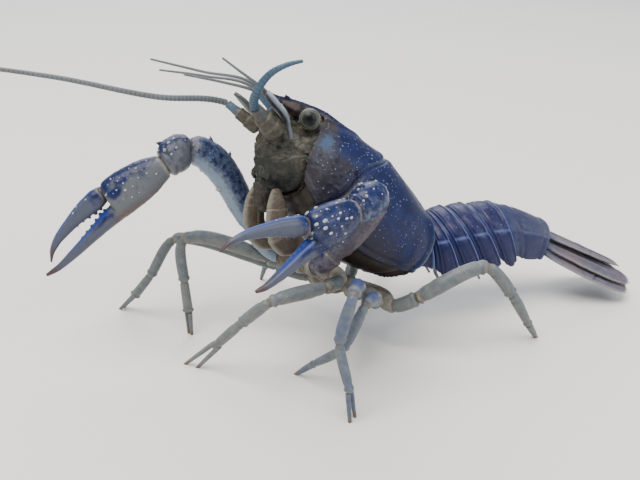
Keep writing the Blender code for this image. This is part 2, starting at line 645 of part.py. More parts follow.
def build_claw(side):
    points, along, mesial, across = claw_frame(side)
    ways = joint_ways(points)
    ways[0] = root_way("cheliped", side, ways[0])
    size = CLAW_SIZE[side]
    # ischium and merus
    table = [(0.0, 1.9, 1.9), (0.22, 2.2, 2.2), (0.27, 2.0, 2.0), (0.45, 2.5, 2.7), (0.85, 2.9, 3.2), (1.0, 2.2, 2.4)]
    table = [(t, a * size, b * size) for t, a, b in table]
    upper, upper_ways = points[:2], ways[:2]
    stations = (0, 0.12, 0.22, 0.27, 0.45, 0.65, 0.85, 0.94, 1.0)
    part = tube(trimmed(upper, upper_ways), upper_ways, across, table, stations, 14)
    spines = []
    for t in ARM_SPINES:
        centre, way = path(upper, upper_ways, [t])
        inner = square_to(mesial, way[0])
        at = centre[0] + inner * smooth(table, t)[0, 1]
        spines.append(cone(at, inner + 0.8 * way[0], 0.42 * size, 1.0 * size, 0.6))
    node("cheliped_arm_" + side, part, "claw_blue", upper[0], spines)
    # carpus
    table = [(0.0, 2.1, 2.2), (0.25, 2.9, 3.2), (0.6, 3.2, 3.5), (0.88, 2.7, 2.9), (1.0, 2.0, 2.1)]
    table = [(t, a * size, b * size) for t, a, b in table]
    wrist, wrist_ways = points[1:3], ways[1:3]
    part = tube(trimmed(wrist, wrist_ways), wrist_ways, across, table, (0, 0.12, 0.28, 0.5, 0.7, 0.88, 1.0), 14)
    spines = []
    for t, turn, radius, length in WRIST_SPINES:
        centre, way = path(wrist, wrist_ways, [t])
        inner = square_to(mesial, way[0])
        outer = np.cross(way[0], inner)
        a = math.radians(turn)
        out = inner * math.cos(a) + outer * math.sin(a)
        at = centre[0] + out * smooth(table, t)[0].mean() * 0.97
        spines.append(cone(at, out + 0.7 * way[0], radius * size, length * size, 0.6))
    node("cheliped_wrist_" + side, part, "claw_blue", wrist[0], spines)
    # hand with the fixed finger
    start = points[2] + ways[2] * GAP / 2

    def palm(x):
        return x * PALM_REACH[side]

    rings = []
    for x in HAND_STATIONS:
        low, high, thick = smooth(HAND, x)[0] * size
        middle, tall = (low + high) / 2, (high - low) / 2
        ring = oval(14, tall, thick, thick, 0.95)
        reach = palm(x) if x <= PALM_END else palm(PALM_END) + (x - PALM_END) * FIXED_REACH[side]
        rings.append(start + along * reach * size + (middle + ring[:, :1]) * mesial + ring[:, 1:] * across)
    rings[0] = onto_plane(rings[0], start, ways[2], along)
    crest = []
    for x in PALM_TUBERCLES:
        at = start + (along * palm(x) + mesial * smooth(HAND, x)[0, 1]) * size
        crest.append(cone(at, mesial + 0.35 * along, 0.5 * size, 0.75 * size, 0.5))
    node("claw_hand_" + side, skin(rings), "claw_blue", start, crest)
    # movable finger
    turn = math.radians(FINGER_OPEN[side])
    hinge = start + (along * (palm(PALM_END) + GAP) + mesial * HINGE_RISE) * size
    forward = along * math.cos(turn) + mesial * math.sin(turn)
    rise = mesial * math.cos(turn) - along * math.sin(turn)
    rings = []
    for x in (0.0, 1.5, 3.5, 6.0, 8.5, 11.0, 13.6, 15.6):
        high, low, thick = smooth(FINGER, x)[0] * size
        ring = oval(12, (high - low) / 2, thick, thick, 0.95)
        middle = (low + high) / 2
        reach = x * size * FINGER_REACH[side]
        rings.append(hinge + forward * reach + (middle + ring[:, :1]) * rise + ring[:, 1:] * across)
    rings[0] = onto_plane(rings[0], hinge, along, forward)
    node("claw_finger_" + side, skin(rings), "finger_lavender", hinge)


# Underside of the thorax with the limbs' first joints

# Rows: u, half width, top, bottom.
STERNUM = [
    (-2.6, 4.6, -9.2, -12.4), (0.0, 5.4, -9.6, -13.2), (4.0, 5.6, -11.2, -14.6), (9.0, 5.2, -12.4, -15.8),
    (14.0, 4.4, -12.9, -16.0), (19.0, 3.2, -12.9, -15.2), (23.0, 2.6, -12.3, -13.8), (26.0, 2.2, -11.6, -12.8)]
STUB_RADIUS = {"cheliped": 2.1, "leg_1": 1.45, "leg_2": 1.5, "leg_3": 1.45, "leg_4": 1.5}


def build_sternum():
    stations = (-2.6, -0.5, 2.0, 5.0, 8.5, 12.0, 15.5, 19.0, 22.5, 26.0)
    rows = [(u, *row) for u, row in zip(stations, smooth(STERNUM, stations))]
    stubs = []
    for limb, base in LIMB_BASES.items():
        u, _, w = base
        for side, sign in SIDES.items():
            links = CLAW_LINKS[side] if limb == "cheliped" else LEG_LINKS[limb, side]
            end = mirrored(base, sign)
            way = root_way(limb, side, heading(*links[0][1:]))
            root = mirrored((u, 2.4, w + 1.6), sign)
            inward = unit(end - root)
            stop = end - way * GAP / 2
            r = STUB_RADIUS[limb]
            if limb == "cheliped":
                r = r * CLAW_SIZE[side]
            table = [(0.0, 0.9 * r, 0.9 * r), (0.5, 1.15 * r, 1.15 * r), (1.0, 0.95 * r, 0.95 * r)]
            stubs.append(tube([root, stop], [inward, way], THORAX_AXES[0], table, (0, 0.35, 0.7, 1.0), 10))
    for sign in SIDES.values():
        points = [mirrored(p, sign) for p in MAXILLIPED[:2]]
        way = unit(points[1] - points[0])
        root = mirrored((20.0, 1.7, -14.4), sign)
        table = [(0.0, 1.3, 1.3), (1.0, 1.2, 1.2)]
        stop = points[0] - way * GAP / 2
        stubs.append(tube([root, stop], [unit(stop - root), way], THORAX_AXES[1], table, (0, 0.5, 1.0), 10))
    node("thorax_underside", upright_skin(rows, 16, 0.7), "belly_tan", thorax(10, 0, -14), stubs)


# Abdomen

# Rows: segment length, yaw, pitch, half width, top, lobe depth below the axis.
SEGMENTS = [
    (4.3, 16.0, 3.0, 8.4, 6.3, 5.4), (4.7, 16.0, 3.0, 8.5, 6.6, 5.8), (4.9, 16.0, 1.0, 8.3, 6.9, 5.8),
    (5.2, 15.0, -2.0, 7.8, 7.0, 5.4), (10.0, 12.0, -13.0, 6.9, 6.9, 3.6)]
BELLY = 3.4
# The last segment narrows to this share of its width and height at the tail fan.
LAST_WIDTH, LAST_HEIGHT = 0.64, 0.58
# How far forward each joint leans for each millimetre above the axis.
LEAN = (0.12, 0.35, 0.44, 0.52, 0.46, 0.0)


def segment_section(half, top, lobe):
    """Half-arch above, hanging side lobes and a flat belly between them."""
    arch = [(half * math.sin(a), top * max(0.0, math.cos(a)) ** 0.9) for a in np.radians(np.linspace(90, -90, 13))]
    left = [(half * 0.99, -lobe * 0.5), (half * 0.93, -lobe * 0.9), (half * 0.86, -lobe), (half * 0.74, -lobe * 0.8),
            (half * 0.6, -BELLY)]
    right = [(-v, w) for v, w in left]
    return np.array(arch + right + [(0.0, -BELLY)] + left[::-1])


def level_axes(yaw, pitch):
    """Backward, left and up of a tail part, which has no roll."""
    back = heading(yaw, pitch)
    left = heading(yaw - 90.0, 0.0)
    return back, left, np.cross(left, back)


# Swimmerets: distance from the midline, then joints down and back; half width, half thickness.
SWIMMERET_OUT = 3.4
SWIMMERET_JOINTS = [(0.0, -2.6), (-0.2, -5.4), (1.6, -9.4)]
SWIMMERET_SIZES = [(0.0, 0.55, 0.45), (1.0, 0.62, 0.40), (1.5, 0.85, 0.30), (2.0, 0.35, 0.26)]


def swimmeret(middle, way, out, up):
    """A small limb that hangs under a segment, flat from front to back."""
    points = [middle + out * SWIMMERET_OUT + way * a + up * b for a, b in SWIMMERET_JOINTS]
    return tube(points, joint_ways(points), out, SWIMMERET_SIZES, (0.0, 0.5, 1.0, 1.4, 1.75, 2.0), 8)


def build_abdomen():
    at = ABDOMEN_AT.copy()
    # first segment: a wedge that turns from the thorax to the level abdomen
    back, left, up = level_axes(ABDOMEN_YAW, SEGMENTS[0][2])
    rear = segment_section(7.7, 5.8, BELLY * 1.05)
    rear = at - back * (GAP + LEAN[0] * rear[:, 1:]) + rear[:, :1] * left + rear[:, 1:] * up
    front = np.array([thorax(REAR_FACE - GAP, v, w) for v, w in segment_section(5.9, 5.4, 3.8)])
    rings = [front * (1 - t) + rear * t for t in (0.0, 0.35, 0.65, 0.9, 1.0)]
    node("abdomen_1", skin(rings), "abdomen_blue", at)
    for number, (length, yaw, pitch, half, top, lobe) in enumerate(SEGMENTS):
        ahead = SEGMENTS[max(0, number - 1)]
        behind = SEGMENTS[min(len(SEGMENTS) - 1, number + 1)]
        last = number == len(SEGMENTS) - 1
        half_end = half * LAST_WIDTH if last else behind[3]
        top_end = top * LAST_HEIGHT if last else behind[4]
        way = heading(yaw, pitch)
        rings = []
        for t in (0.0, 0.12, 0.3, 0.55, 0.8, 0.95, 1.0):
            # at each joint the section halves the bend, so the gap is even all round
            near = ahead if t < 0.5 else behind
            share = abs(t - 0.5)
            _, left, up = level_axes(yaw + (near[1] - yaw) * share, pitch + (near[2] - pitch) * share)
            swell = 0.93 + 0.07 * math.sin(math.pi * min(1.0, t * 0.62))
            a = (half * (1 - t) + half_end * t) * swell
            b = (top * (1 - t) + top_end * t) * swell
            hang = BELLY + 0.3 + (lobe - BELLY) * math.sin(math.pi * (0.08 + 0.84 * t)) ** 0.8
            ring = segment_section(a, b, hang)
            lean = LEAN[number] * (1 - t) + LEAN[number + 1] * t
            back_by = t * (length - GAP) - lean * ring[:, 1:]
            rings.append(at + way * back_by + ring[:, :1] * left + ring[:, 1:] * up)
        limbs = []
        if not last:
            _, left, up = level_axes(yaw, pitch)
            limbs = [swimmeret(at + way * length * 0.45, way, left * turn, up) for turn in (1, -1)]
        node(f"abdomen_{number + 2}", skin(rings), "abdomen_blue", at, limbs)
        at = at + way * length
    return at


# Tail fan

# Rows: distance from the root, half width, half thickness.
TELSON = [(0.0, 3.0, 0.45), (3.6, 3.5, 0.38), (10.0, 3.3, 0.33), (16.0, 3.0, 0.30), (19.6, 2.3, 0.28), (21.2, 1.2, 0.26)]
INNER = [(0.0, 1.1, 0.45), (3.6, 1.9, 0.38), (9.5, 2.4, 0.33), (16.0, 2.6, 0.30), (21.0, 2.1, 0.28), (23.0, 1.0, 0.26)]
OUTER = [(0.0, 1.2, 0.45), (3.6, 2.3, 0.38), (9.5, 3.0, 0.33), (16.0, 3.1, 0.30), (20.4, 2.4, 0.28), (22.4, 1.1, 0.26)]
# Each plate: rows, offset to the left, splay, height above the root, sideways tilt.
PLATES = {
    "telson": (TELSON, 0.0, 0.0, 1.4, 0.0),
    "uropod_inner_left": (INNER, 2.2, 4.0, -0.5, -0.42), "uropod_inner_right": (INNER, -2.2, -4.0, -0.5, 0.42),
    "uropod_outer_left": (OUTER, 2.7, 6.0, -2.1, -0.44), "uropod_outer_right": (OUTER, -2.7, -6.0, -2.1, 0.44)}
FAN_YAW, FAN_PITCH = 9.0, -25.5
PLATE_SECTION = [
    (1.0, 0.0), (0.85, 1.0), (0.45, 1.05), (0.14, 1.05), (0.0, 1.35), (-0.14, 1.05), (-0.45, 1.05),
    (-0.85, 1.0), (-1.0, 0.0), (-0.85, -1.0), (-0.45, -1.0), (0.0, -1.0), (0.45, -1.0), (0.85, -1.0)]


def build_fan(root):
    back, left, up = level_axes(FAN_YAW, FAN_PITCH)
    last, last_left, last_up = level_axes(SEGMENTS[-1][1], SEGMENTS[-1][2])
    for name, (table, offset, splay, height, tilt) in PLATES.items():
        s = math.radians(splay)
        way = back * math.cos(s) + left * math.sin(s)
        side = unit(left * math.cos(s) - back * math.sin(s) + up * tilt)
        lift = np.cross(side, way)
        start = root + last * GAP / 2 + last_left * offset + last_up * height
        rings = []
        for t in np.linspace(0, 1, 9):
            half, thick = smooth(table, t * table[-1][0])[0]
            ring = np.array(PLATE_SECTION) * (half, thick)
            rings.append(start + way * t * table[-1][0] + ring[:, :1] * side + ring[:, 1:] * lift)
        rings[0] = onto_plane(rings[0], start, last, way)
        node(name, skin(rings), "tail_violet", start)


def clear_scene():
    for item in list(bpy.data.objects):
        bpy.data.objects.remove(item)


clear_scene()
POSE = bpy.data.objects.new("crayfish_pose", None)
bpy.context.scene.collection.objects.link(POSE)

build_carapace()
build_head_front()
for side_name, sign in SIDES.items():
    build_eye(sign, side_name)
    build_feelers(sign, side_name)
    build_maxilliped(sign, side_name)
    build_claw(side_name)
    for leg_name in LEG_RADIUS:
        build_leg(leg_name, side_name)
build_sternum()
build_fan(build_abdomen())
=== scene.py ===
import math

import bpy
import numpy as np
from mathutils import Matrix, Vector, noise


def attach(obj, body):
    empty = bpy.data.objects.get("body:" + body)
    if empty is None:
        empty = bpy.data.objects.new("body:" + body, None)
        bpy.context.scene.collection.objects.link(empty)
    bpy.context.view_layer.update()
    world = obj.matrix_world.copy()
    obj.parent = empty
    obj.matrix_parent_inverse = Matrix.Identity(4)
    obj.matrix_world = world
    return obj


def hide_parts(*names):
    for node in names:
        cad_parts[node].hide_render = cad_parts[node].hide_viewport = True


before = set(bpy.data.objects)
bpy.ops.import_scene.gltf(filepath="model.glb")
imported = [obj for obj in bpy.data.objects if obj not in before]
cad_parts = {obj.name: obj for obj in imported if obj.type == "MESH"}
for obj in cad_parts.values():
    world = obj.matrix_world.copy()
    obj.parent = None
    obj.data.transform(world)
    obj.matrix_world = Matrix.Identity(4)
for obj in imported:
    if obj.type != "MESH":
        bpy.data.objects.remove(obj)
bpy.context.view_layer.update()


# Floor, lamps and camera
# The model stands on a matt pale studio floor. A large soft lamp hangs high over it to the left,
# with two weaker ones at the side and behind, and the camera looks a little down on the animal's
# left side.

# Where the part's origin lies in the pose's frame, in mm.
CENTRE_X, CENTRE_Y = -4.54, 10.46
MM = 0.001


def place(points):
    """Metres in the part's frame from millimetres in the pose's frame: X to the tail, Z up."""
    return (np.asarray(points, float) - (CENTRE_X, CENTRE_Y, 0.0)) * MM


def tone(code):
    """A linear colour from an sRGB hex value."""
    parts = [int(code[i:i + 2], 16) / 255 for i in (1, 3, 5)]
    return [c / 12.92 if c <= 0.04045 else ((c + 0.055) / 1.055) ** 2.4 for c in parts] + [1.0]


def add(tree, kind, inputs=None, **settings):
    """Adds a node with its settings, and sets or links its inputs."""
    node = tree.nodes.new(kind)
    for key, value in settings.items():
        setattr(node, key, value)
    for key, value in (inputs or {}).items():
        if isinstance(value, bpy.types.NodeSocket):
            tree.links.new(value, node.inputs[key])
        else:
            node.inputs[key].default_value = value
    return node


def blank(name):
    """A new material and its empty tree."""
    material = bpy.data.materials.new(name)
    material.use_nodes = True
    material.node_tree.nodes.clear()
    return material, material.node_tree


def put_in(name, data):
    """A new object in the scene, of a mesh, a lamp or a camera."""
    item = bpy.data.objects.new(name, data)
    bpy.context.scene.collection.objects.link(item)
    return item


FLOOR_SIZE = 8.0
# Painted board, rolled matt: an even pale grey with the faintest clouds.
floor_paint, tree = blank("matt_painted_board")
clouds = add(tree, "ShaderNodeTexNoise", {"Scale": 9.0, "Detail": 4.0})
tint = add(tree, "ShaderNodeMix", {0: clouds.outputs["Fac"], 6: tone("#d9d8d4"), 7: tone("#e2e1dd")},
           data_type="RGBA")
paint = add(tree, "ShaderNodeBsdfPrincipled",
            {"Base Color": tint.outputs[2], "Roughness": 0.85, "Specular IOR Level": 0.2})
add(tree, "ShaderNodeOutputMaterial", {"Surface": paint.outputs[0]})
bpy.ops.mesh.primitive_plane_add(size=FLOOR_SIZE)
floor = bpy.context.object
floor.name = "studio_floor"
floor.data.materials.append(floor_paint)

# Lamps: place in mm, size in m, watts, colour.
LAMPS = [
    ((-350, -420, 1500), 1.2, 46.0, "#fff8ee"), ((1100, -700, 800), 1.0, 12.0, "#eef3ff"),
    ((-250, 1500, 1300), 1.6, 34.0, "#f2f6ff")]
AIM = (0.0, 8.0, 22.0)
for number, (spot, size, watts, colour) in enumerate(LAMPS):
    data = bpy.data.lights.new(f"lamp_{number}", "AREA")
    data.size = size
    data.energy = watts
    data.color = tone(colour)[:3]
    lamp = put_in(data.name, data)
    lamp.location = place(spot)
    way = Vector(place(AIM) - place(spot))
    lamp.rotation_euler = way.to_track_quat("-Z", "Y").to_euler()
world = bpy.data.worlds.new("soft_room")
world.use_nodes = True
world.node_tree.nodes["Background"].inputs["Color"].default_value = tone("#dfe4ea")
world.node_tree.nodes["Background"].inputs["Strength"].default_value = 0.55
bpy.context.scene.world = world

CAMERA_AT, CAMERA_PITCH, LENS = (0.0, -126.0, 75.0), -22.0, 40.5
view = bpy.data.cameras.new("photo_view")
view.sensor_width = 36.0
view.lens = LENS
view.clip_start = 0.005
camera = put_in("photo_view", view)
camera.location = place(CAMERA_AT)
camera.rotation_euler = (math.radians(90.0 + CAMERA_PITCH), 0.0, 0.0)
bpy.context.scene.camera = camera


# Carapace with the rostrum
# The single shell over head and thorax: calcified chitin, grown in one piece and moulded over
# the gills, crossed by the neck groove and drawn out in front into the flat, toothed rostrum.

THORAX_AT = np.array((16.2, 14.0, 17.2))
THORAX_PITCH, THORAX_YAW, THORAX_ROLL = 46.0, 24.0, 14.0


def unit(vector):
    """Vectors of length 1 along those given."""
    vector = np.asarray(vector, float)
    return vector / np.linalg.norm(vector, axis=-1, keepdims=True)


def heading(azimuth, elevation):
    """The unit vector at an azimuth from +X and an elevation from the floor, in degrees."""
    a, e = math.radians(azimuth), math.radians(elevation)
    return np.array((math.cos(e) * math.cos(a), math.cos(e) * math.sin(a), math.sin(e)))


def body_axes(pitch, yaw, roll):
    """Forward, left and up of a body whose head points to -X."""
    forward = heading(180.0 + yaw, pitch)
    left = heading(yaw - 90.0, 0.0)
    up = np.cross(forward, left)
    r = math.radians(roll)
    return np.array((forward, left * math.cos(r) + up * math.sin(r), up * math.cos(r) - left * math.sin(r)))


THORAX_AXES = body_axes(THORAX_PITCH, THORAX_YAW, THORAX_ROLL)


def thorax(points):
    """Points (forward, left, up) from the middle of the carapace's rear edge."""
    return THORAX_AT + np.asarray(points, float) @ THORAX_AXES


def smooth(table, x):
    """Values at x on a smooth curve through rows of (x, value, ...), with no overshoot."""
    rows = np.array(table, float)
    knots, values = rows[:, 0], rows[:, 1:]
    width = np.diff(knots)[:, None]
    slope = np.diff(values, axis=0) / width
    tangent = np.zeros_like(values)
    tangent[0], tangent[-1] = slope[0], slope[-1]
    before, after = slope[:-1], slope[1:]
    same_way = before * after > 0
    safe = np.where(same_way, before + after, 1.0)
    tangent[1:-1] = np.where(same_way, 2 * before * after / safe, 0.0)
    x = np.clip(np.asarray(x, float), knots[0], knots[-1])
    shape = x.shape
    x = x.ravel()
    i = np.clip(np.searchsorted(knots, x, side="right") - 1, 0, len(knots) - 2)
    f = ((x - knots[i]) / width[i, 0])[:, None]
    blend = 3 * f**2 - 2 * f**3
    found = (values[i] * (1 - blend) + values[i + 1] * blend
             + width[i] * ((f - 2 * f**2 + f**3) * tangent[i] + (f**3 - f**2) * tangent[i + 1]))
    return np.moveaxis(found.reshape(shape + (-1,)), -1, 0)


def step(low, high, x):
    """0 below low, 1 above high and a smooth rise between."""
    t = np.clip((np.asarray(x, float) - low) / (high - low), 0.0, 1.0)
    return t * t * (3 - 2 * t)


def hump(x, middle, width):
    """A bell of height 1 round middle."""
    return np.exp(-(((np.asarray(x, float) - middle) / width) ** 2))


def skin(rings):
    """Points and faces of one closed skin through like rings, each end closed by a fan."""
    rings = np.asarray(rings, float)
    rows, count = rings.shape[:2]
    points = np.vstack([rings.reshape(-1, 3), rings[0].mean(0), rings[-1].mean(0)])
    start, end = rows * count, rows * count + 1
    i = np.arange(count)
    k = (i + 1) % count
    base = (np.arange(rows - 1) * count)[:, None]
    quads = np.stack((base + i, base + k, base + count + k, base + count + i), -1).reshape(-1, 4)
    last = (rows - 1) * count
    faces = quads.tolist() + [(start, int(b), int(a)) for a, b in zip(i, k)]
    faces += [(end, int(last + a), int(last + b)) for a, b in zip(i, k)]
    a, b, c, d = (points[quads[:, n]] for n in range(4))
    volume = (np.einsum("ij,ij->i", a, np.cross(b, c)) + np.einsum("ij,ij->i", a, np.cross(c, d))).sum()
    if volume < 0:
        faces = [tuple(reversed(face)) for face in faces]
    return points, faces


def join(skins):
    """Several skins as one set of points and faces."""
    points, faces, shift = [], [], 0
    for some, their in skins:
        points.append(some)
        faces += [tuple(n + shift for n in face) for face in their]
        shift += len(some)
    return np.vstack(points), faces


def plain_mesh(name, points, faces):
    """A mesh of points and faces, with nothing on it."""
    mesh = bpy.data.meshes.new(name)
    mesh.from_pydata(np.asarray(points, float).tolist(), [], faces)
    mesh.update()
    return mesh


def settled(item):
    """The plain mesh of an object as its modifiers leave it; the object itself goes."""
    bpy.context.view_layer.update()
    mesh = bpy.data.meshes.new_from_object(item.evaluated_get(bpy.context.evaluated_depsgraph_get()))
    item.modifiers.clear()
    bpy.data.objects.remove(item)
    return mesh


def sculpt(skins, voxel, rounds):
    """One closed surface round overlapping skins, smoothed: its points, faces and normals."""
    item = put_in("clay", plain_mesh("clay", *join(skins)))
    remesh = item.modifiers.new("one_skin", "REMESH")
    remesh.mode = "VOXEL"
    remesh.voxel_size = voxel
    soften = item.modifiers.new("soften", "SMOOTH")
    soften.factor = 0.5
    soften.iterations = rounds
    mesh = settled(item)
    points = np.zeros(len(mesh.vertices) * 3)
    mesh.vertices.foreach_get("co", points)
    normals = np.zeros(len(mesh.vertices) * 3)
    mesh.vertex_normals.foreach_get("vector", normals)
    faces = [tuple(face.vertices) for face in mesh.polygons]
    bpy.data.meshes.remove(mesh)
    return points.reshape(-1, 3), faces, normals.reshape(-1, 3)


def dress(item, slot, *nodes):
    """The piece rides on the one body and stands for CAD nodes; slot is not used."""
    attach(item, "root")
    if nodes:
        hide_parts(*nodes)
    return item


def piece(name, points, faces, material, masks=None):
    """A finished mesh object; masks are the shell's colour layers, a value at each point."""
    mesh = plain_mesh(name, place(points), faces)
    for key, values in (masks or {}).items():
        layer = mesh.attributes.new(key, "FLOAT", "POINT")
        layer.data.foreach_set("value", np.clip(values, 0.0, 1.0).astype(np.float32))
    mesh.materials.append(material)
    mesh.shade_smooth()
    return put_in(name, mesh)


def wander(points, size, seed):
    """Smooth noise from -1 to 1 at points in mm, with features about size across."""
    shift = Vector((seed * 7.3, seed * 3.1, seed * 5.7))
    return np.array([noise.noise(Vector(p) / size + shift) for p in points])


def per_mm(size):
    """The scale of a pattern in metres whose features are size mm across."""
    return 1000.0 / size


def shell_finish(name, base, shade, layers=(), mottle=1.4, specks=None, pits=0.30, rough=0.40, coat=0.06,
                 flesh=0.0):
    """Calcified chitin: two pigments in clouds, then colour layers that the piece's masks lay on.

    layers are (mask, colour, break-up); specks are (colour, spacing, share of it); sizes in mm."""
    material, tree = blank(name)
    # the cuticle's pits are this deep
    depth = 0.02 * MM
    where = add(tree, "ShaderNodeTexCoord").outputs["Object"]
    cloud = add(tree, "ShaderNodeTexNoise",
                {"Vector": where, "Scale": per_mm(mottle), "Detail": 5.0, "Roughness": 0.62})
    spread = add(tree, "ShaderNodeMapRange",
                 {"Value": cloud.outputs["Fac"], "From Min": 0.35, "From Max": 0.65})
    colour = add(tree, "ShaderNodeMix", {0: spread.outputs[0], 6: tone(base), 7: tone(shade)},
                 data_type="RGBA").outputs[2]
    edge = add(tree, "ShaderNodeTexNoise",
               {"Vector": where, "Scale": per_mm(0.9), "Detail": 4.0, "Roughness": 0.6})
    ragged = add(tree, "ShaderNodeMath", {0: edge.outputs["Fac"], 1: 0.5}, operation="SUBTRACT").outputs[0]
    if specks:
        paint, spacing, share = specks
        cells = add(tree, "ShaderNodeTexVoronoi", {"Vector": where, "Scale": per_mm(spacing)})
        dots = add(tree, "ShaderNodeMapRange", {"Value": cells.outputs["Distance"], "From Min": share,
                                                "From Max": share * 0.55}).outputs[0]
        kept = add(tree, "ShaderNodeAttribute", attribute_name="speck").outputs["Fac"]
        dots = add(tree, "ShaderNodeMath", {0: dots, 1: kept}, operation="MULTIPLY").outputs[0]
        colour = add(tree, "ShaderNodeMix", {0: dots, 6: colour, 7: tone(paint)},
                     data_type="RGBA").outputs[2]
    for mask, paint, broken in layers:
        value = add(tree, "ShaderNodeAttribute", attribute_name=mask).outputs["Fac"]
        shift = add(tree, "ShaderNodeMath", {0: ragged, 1: broken, 2: value},
                    operation="MULTIPLY_ADD").outputs[0]
        sharp = add(tree, "ShaderNodeMapRange",
                    {"Value": shift, "From Min": 0.12, "From Max": 0.88}).outputs[0]
        bound = add(tree, "ShaderNodeMath", {0: sharp, 1: value}, operation="MULTIPLY").outputs[0]
        factor = add(tree, "ShaderNodeMix", {0: 0.5, 2: bound, 3: sharp}).outputs[0]
        shown = add(tree, "ShaderNodeMath", {0: value, 1: 0.02}, operation="GREATER_THAN").outputs[0]
        factor = add(tree, "ShaderNodeMath", {0: factor, 1: shown}, operation="MULTIPLY").outputs[0]
        colour = add(tree, "ShaderNodeMix", {0: factor, 6: colour, 7: tone(paint)},
                     data_type="RGBA").outputs[2]
    grain = add(tree, "ShaderNodeTexNoise",
                {"Vector": where, "Scale": per_mm(0.35), "Detail": 3.0, "Roughness": 0.6})
    pit = add(tree, "ShaderNodeTexVoronoi", {"Vector": where, "Scale": per_mm(pits * 2.2)})
    dent = add(tree, "ShaderNodeMapRange",
               {"Value": pit.outputs["Distance"], "From Min": 0.0, "From Max": 0.30}).outputs[0]
    height = add(tree, "ShaderNodeMath", {0: grain.outputs["Fac"], 1: 0.6, 2: dent},
                 operation="MULTIPLY_ADD").outputs[0]
    bump = add(tree, "ShaderNodeBump", {"Height": height, "Distance": depth, "Strength": 1.0})
    sheen = add(tree, "ShaderNodeMapRange", {"Value": cloud.outputs["Fac"], "From Min": 0.3, "From Max": 0.7,
                                             "To Min": rough - 0.07, "To Max": rough + 0.09})
    shader = add(tree, "ShaderNodeBsdfPrincipled", {
        "Base Color": colour, "Roughness": sheen.outputs[0], "Normal": bump.outputs[0], "Coat Weight": coat,
        "Coat Roughness": 0.22, "Specular IOR Level": 0.22, "Subsurface Weight": flesh,
        "Subsurface Radius": (1.0, 0.9, 0.8), "Subsurface Scale": 0.8 * MM})
    add(tree, "ShaderNodeOutputMaterial", {"Surface": shader.outputs[0]})
    return material


def grown(name, base, tree, settings):
    """The plain mesh that a Geometry Nodes tree makes of a mesh, with its named inputs set."""
    host = put_in(name + "_seed", base)
    modifier = host.modifiers.new("grow", "NODES")
    modifier.node_group = tree
    sockets = {item.name: item.identifier for item in tree.interface.items_tree if item.in_out == "INPUT"}
    for key, value in settings.items():
        modifier[sockets[key]] = value
    return put_in(name, settled(host))


def growing_tree(name, inputs):
    """A new Geometry Nodes tree with named inputs of the kinds given, and their outlets in it."""
    tree = bpy.data.node_groups.new(name, "GeometryNodeTree")
    for key, kind in {"Geometry": "Geometry", **inputs, "Finish": "Material"}.items():
        tree.interface.new_socket(key, in_out="INPUT", socket_type="NodeSocket" + kind)
    tree.interface.new_socket("Geometry", in_out="OUTPUT", socket_type="NodeSocketGeometry")
    return tree, add(tree, "NodeGroupInput").outputs


def full_grown(tree, given, geometry):
    """The end of such a tree: real geometry in its finish."""
    real = add(tree, "GeometryNodeRealizeInstances", {"Geometry": geometry}).outputs[0]
    done = add(tree, "GeometryNodeSetMaterial", {"Geometry": real, "Material": given["Finish"]}).outputs[0]
    add(tree, "NodeGroupOutput", {"Geometry": done})
    return tree


def knob_tree():
    """Geometry Nodes: a shell grows low domes on its normals where its knob mask is high."""
    tree, given = growing_tree("shell_knobs", {"Spacing": "Float", "Size": "Float", "Rise": "Float",
                                               "Long": "Float", "Grain": "Vector", "Seed": "Int"})
    mask = add(tree, "GeometryNodeInputNamedAttribute", {"Name": "knob"},
               data_type="FLOAT").outputs["Attribute"]
    square = add(tree, "ShaderNodeMath", {0: given["Spacing"], 1: given["Spacing"]},
                 operation="MULTIPLY").outputs[0]
    density = add(tree, "ShaderNodeMath", {0: 1.6, 1: square}, operation="DIVIDE").outputs[0]
    spots = add(tree, "GeometryNodeDistributePointsOnFaces", {
        "Mesh": given["Geometry"], "Distance Min": given["Spacing"], "Density Max": density,
        "Density Factor": mask, "Seed": given["Seed"]}, distribute_method="POISSON").outputs
    turned = add(tree, "FunctionNodeAlignRotationToVector",
                 {"Rotation": spots["Rotation"], "Vector": given["Grain"]},
                 axis="X", pivot_axis="Z").outputs[0]
    vary = add(tree, "FunctionNodeRandomValue", {2: 0.45, 3: 1.4, "Seed": given["Seed"]},
               data_type="FLOAT").outputs[1]
    swell = add(tree, "ShaderNodeMath", {0: mask, 1: 0.55, 2: 0.45}, operation="MULTIPLY_ADD").outputs[0]
    size = add(tree, "ShaderNodeMath", {0: given["Size"], 1: vary}, operation="MULTIPLY").outputs[0]
    size = add(tree, "ShaderNodeMath", {0: size, 1: swell}, operation="MULTIPLY").outputs[0]
    length = add(tree, "ShaderNodeMath", {0: size, 1: given["Long"]}, operation="MULTIPLY").outputs[0]
    height = add(tree, "ShaderNodeMath", {0: size, 1: given["Rise"]}, operation="MULTIPLY").outputs[0]
    scale = add(tree, "ShaderNodeCombineXYZ", {0: length, 1: size, 2: height}).outputs[0]
    dome = add(tree, "GeometryNodeMeshUVSphere", {"Segments": 8, "Rings": 5, "Radius": 1.0}).outputs[0]
    dome = add(tree, "GeometryNodeSetShadeSmooth", {"Geometry": dome}).outputs[0]
    grown_on = add(tree, "GeometryNodeInstanceOnPoints", {
        "Points": spots["Points"], "Instance": dome, "Rotation": turned, "Scale": scale}).outputs[0]
    return full_grown(tree, given, grown_on)


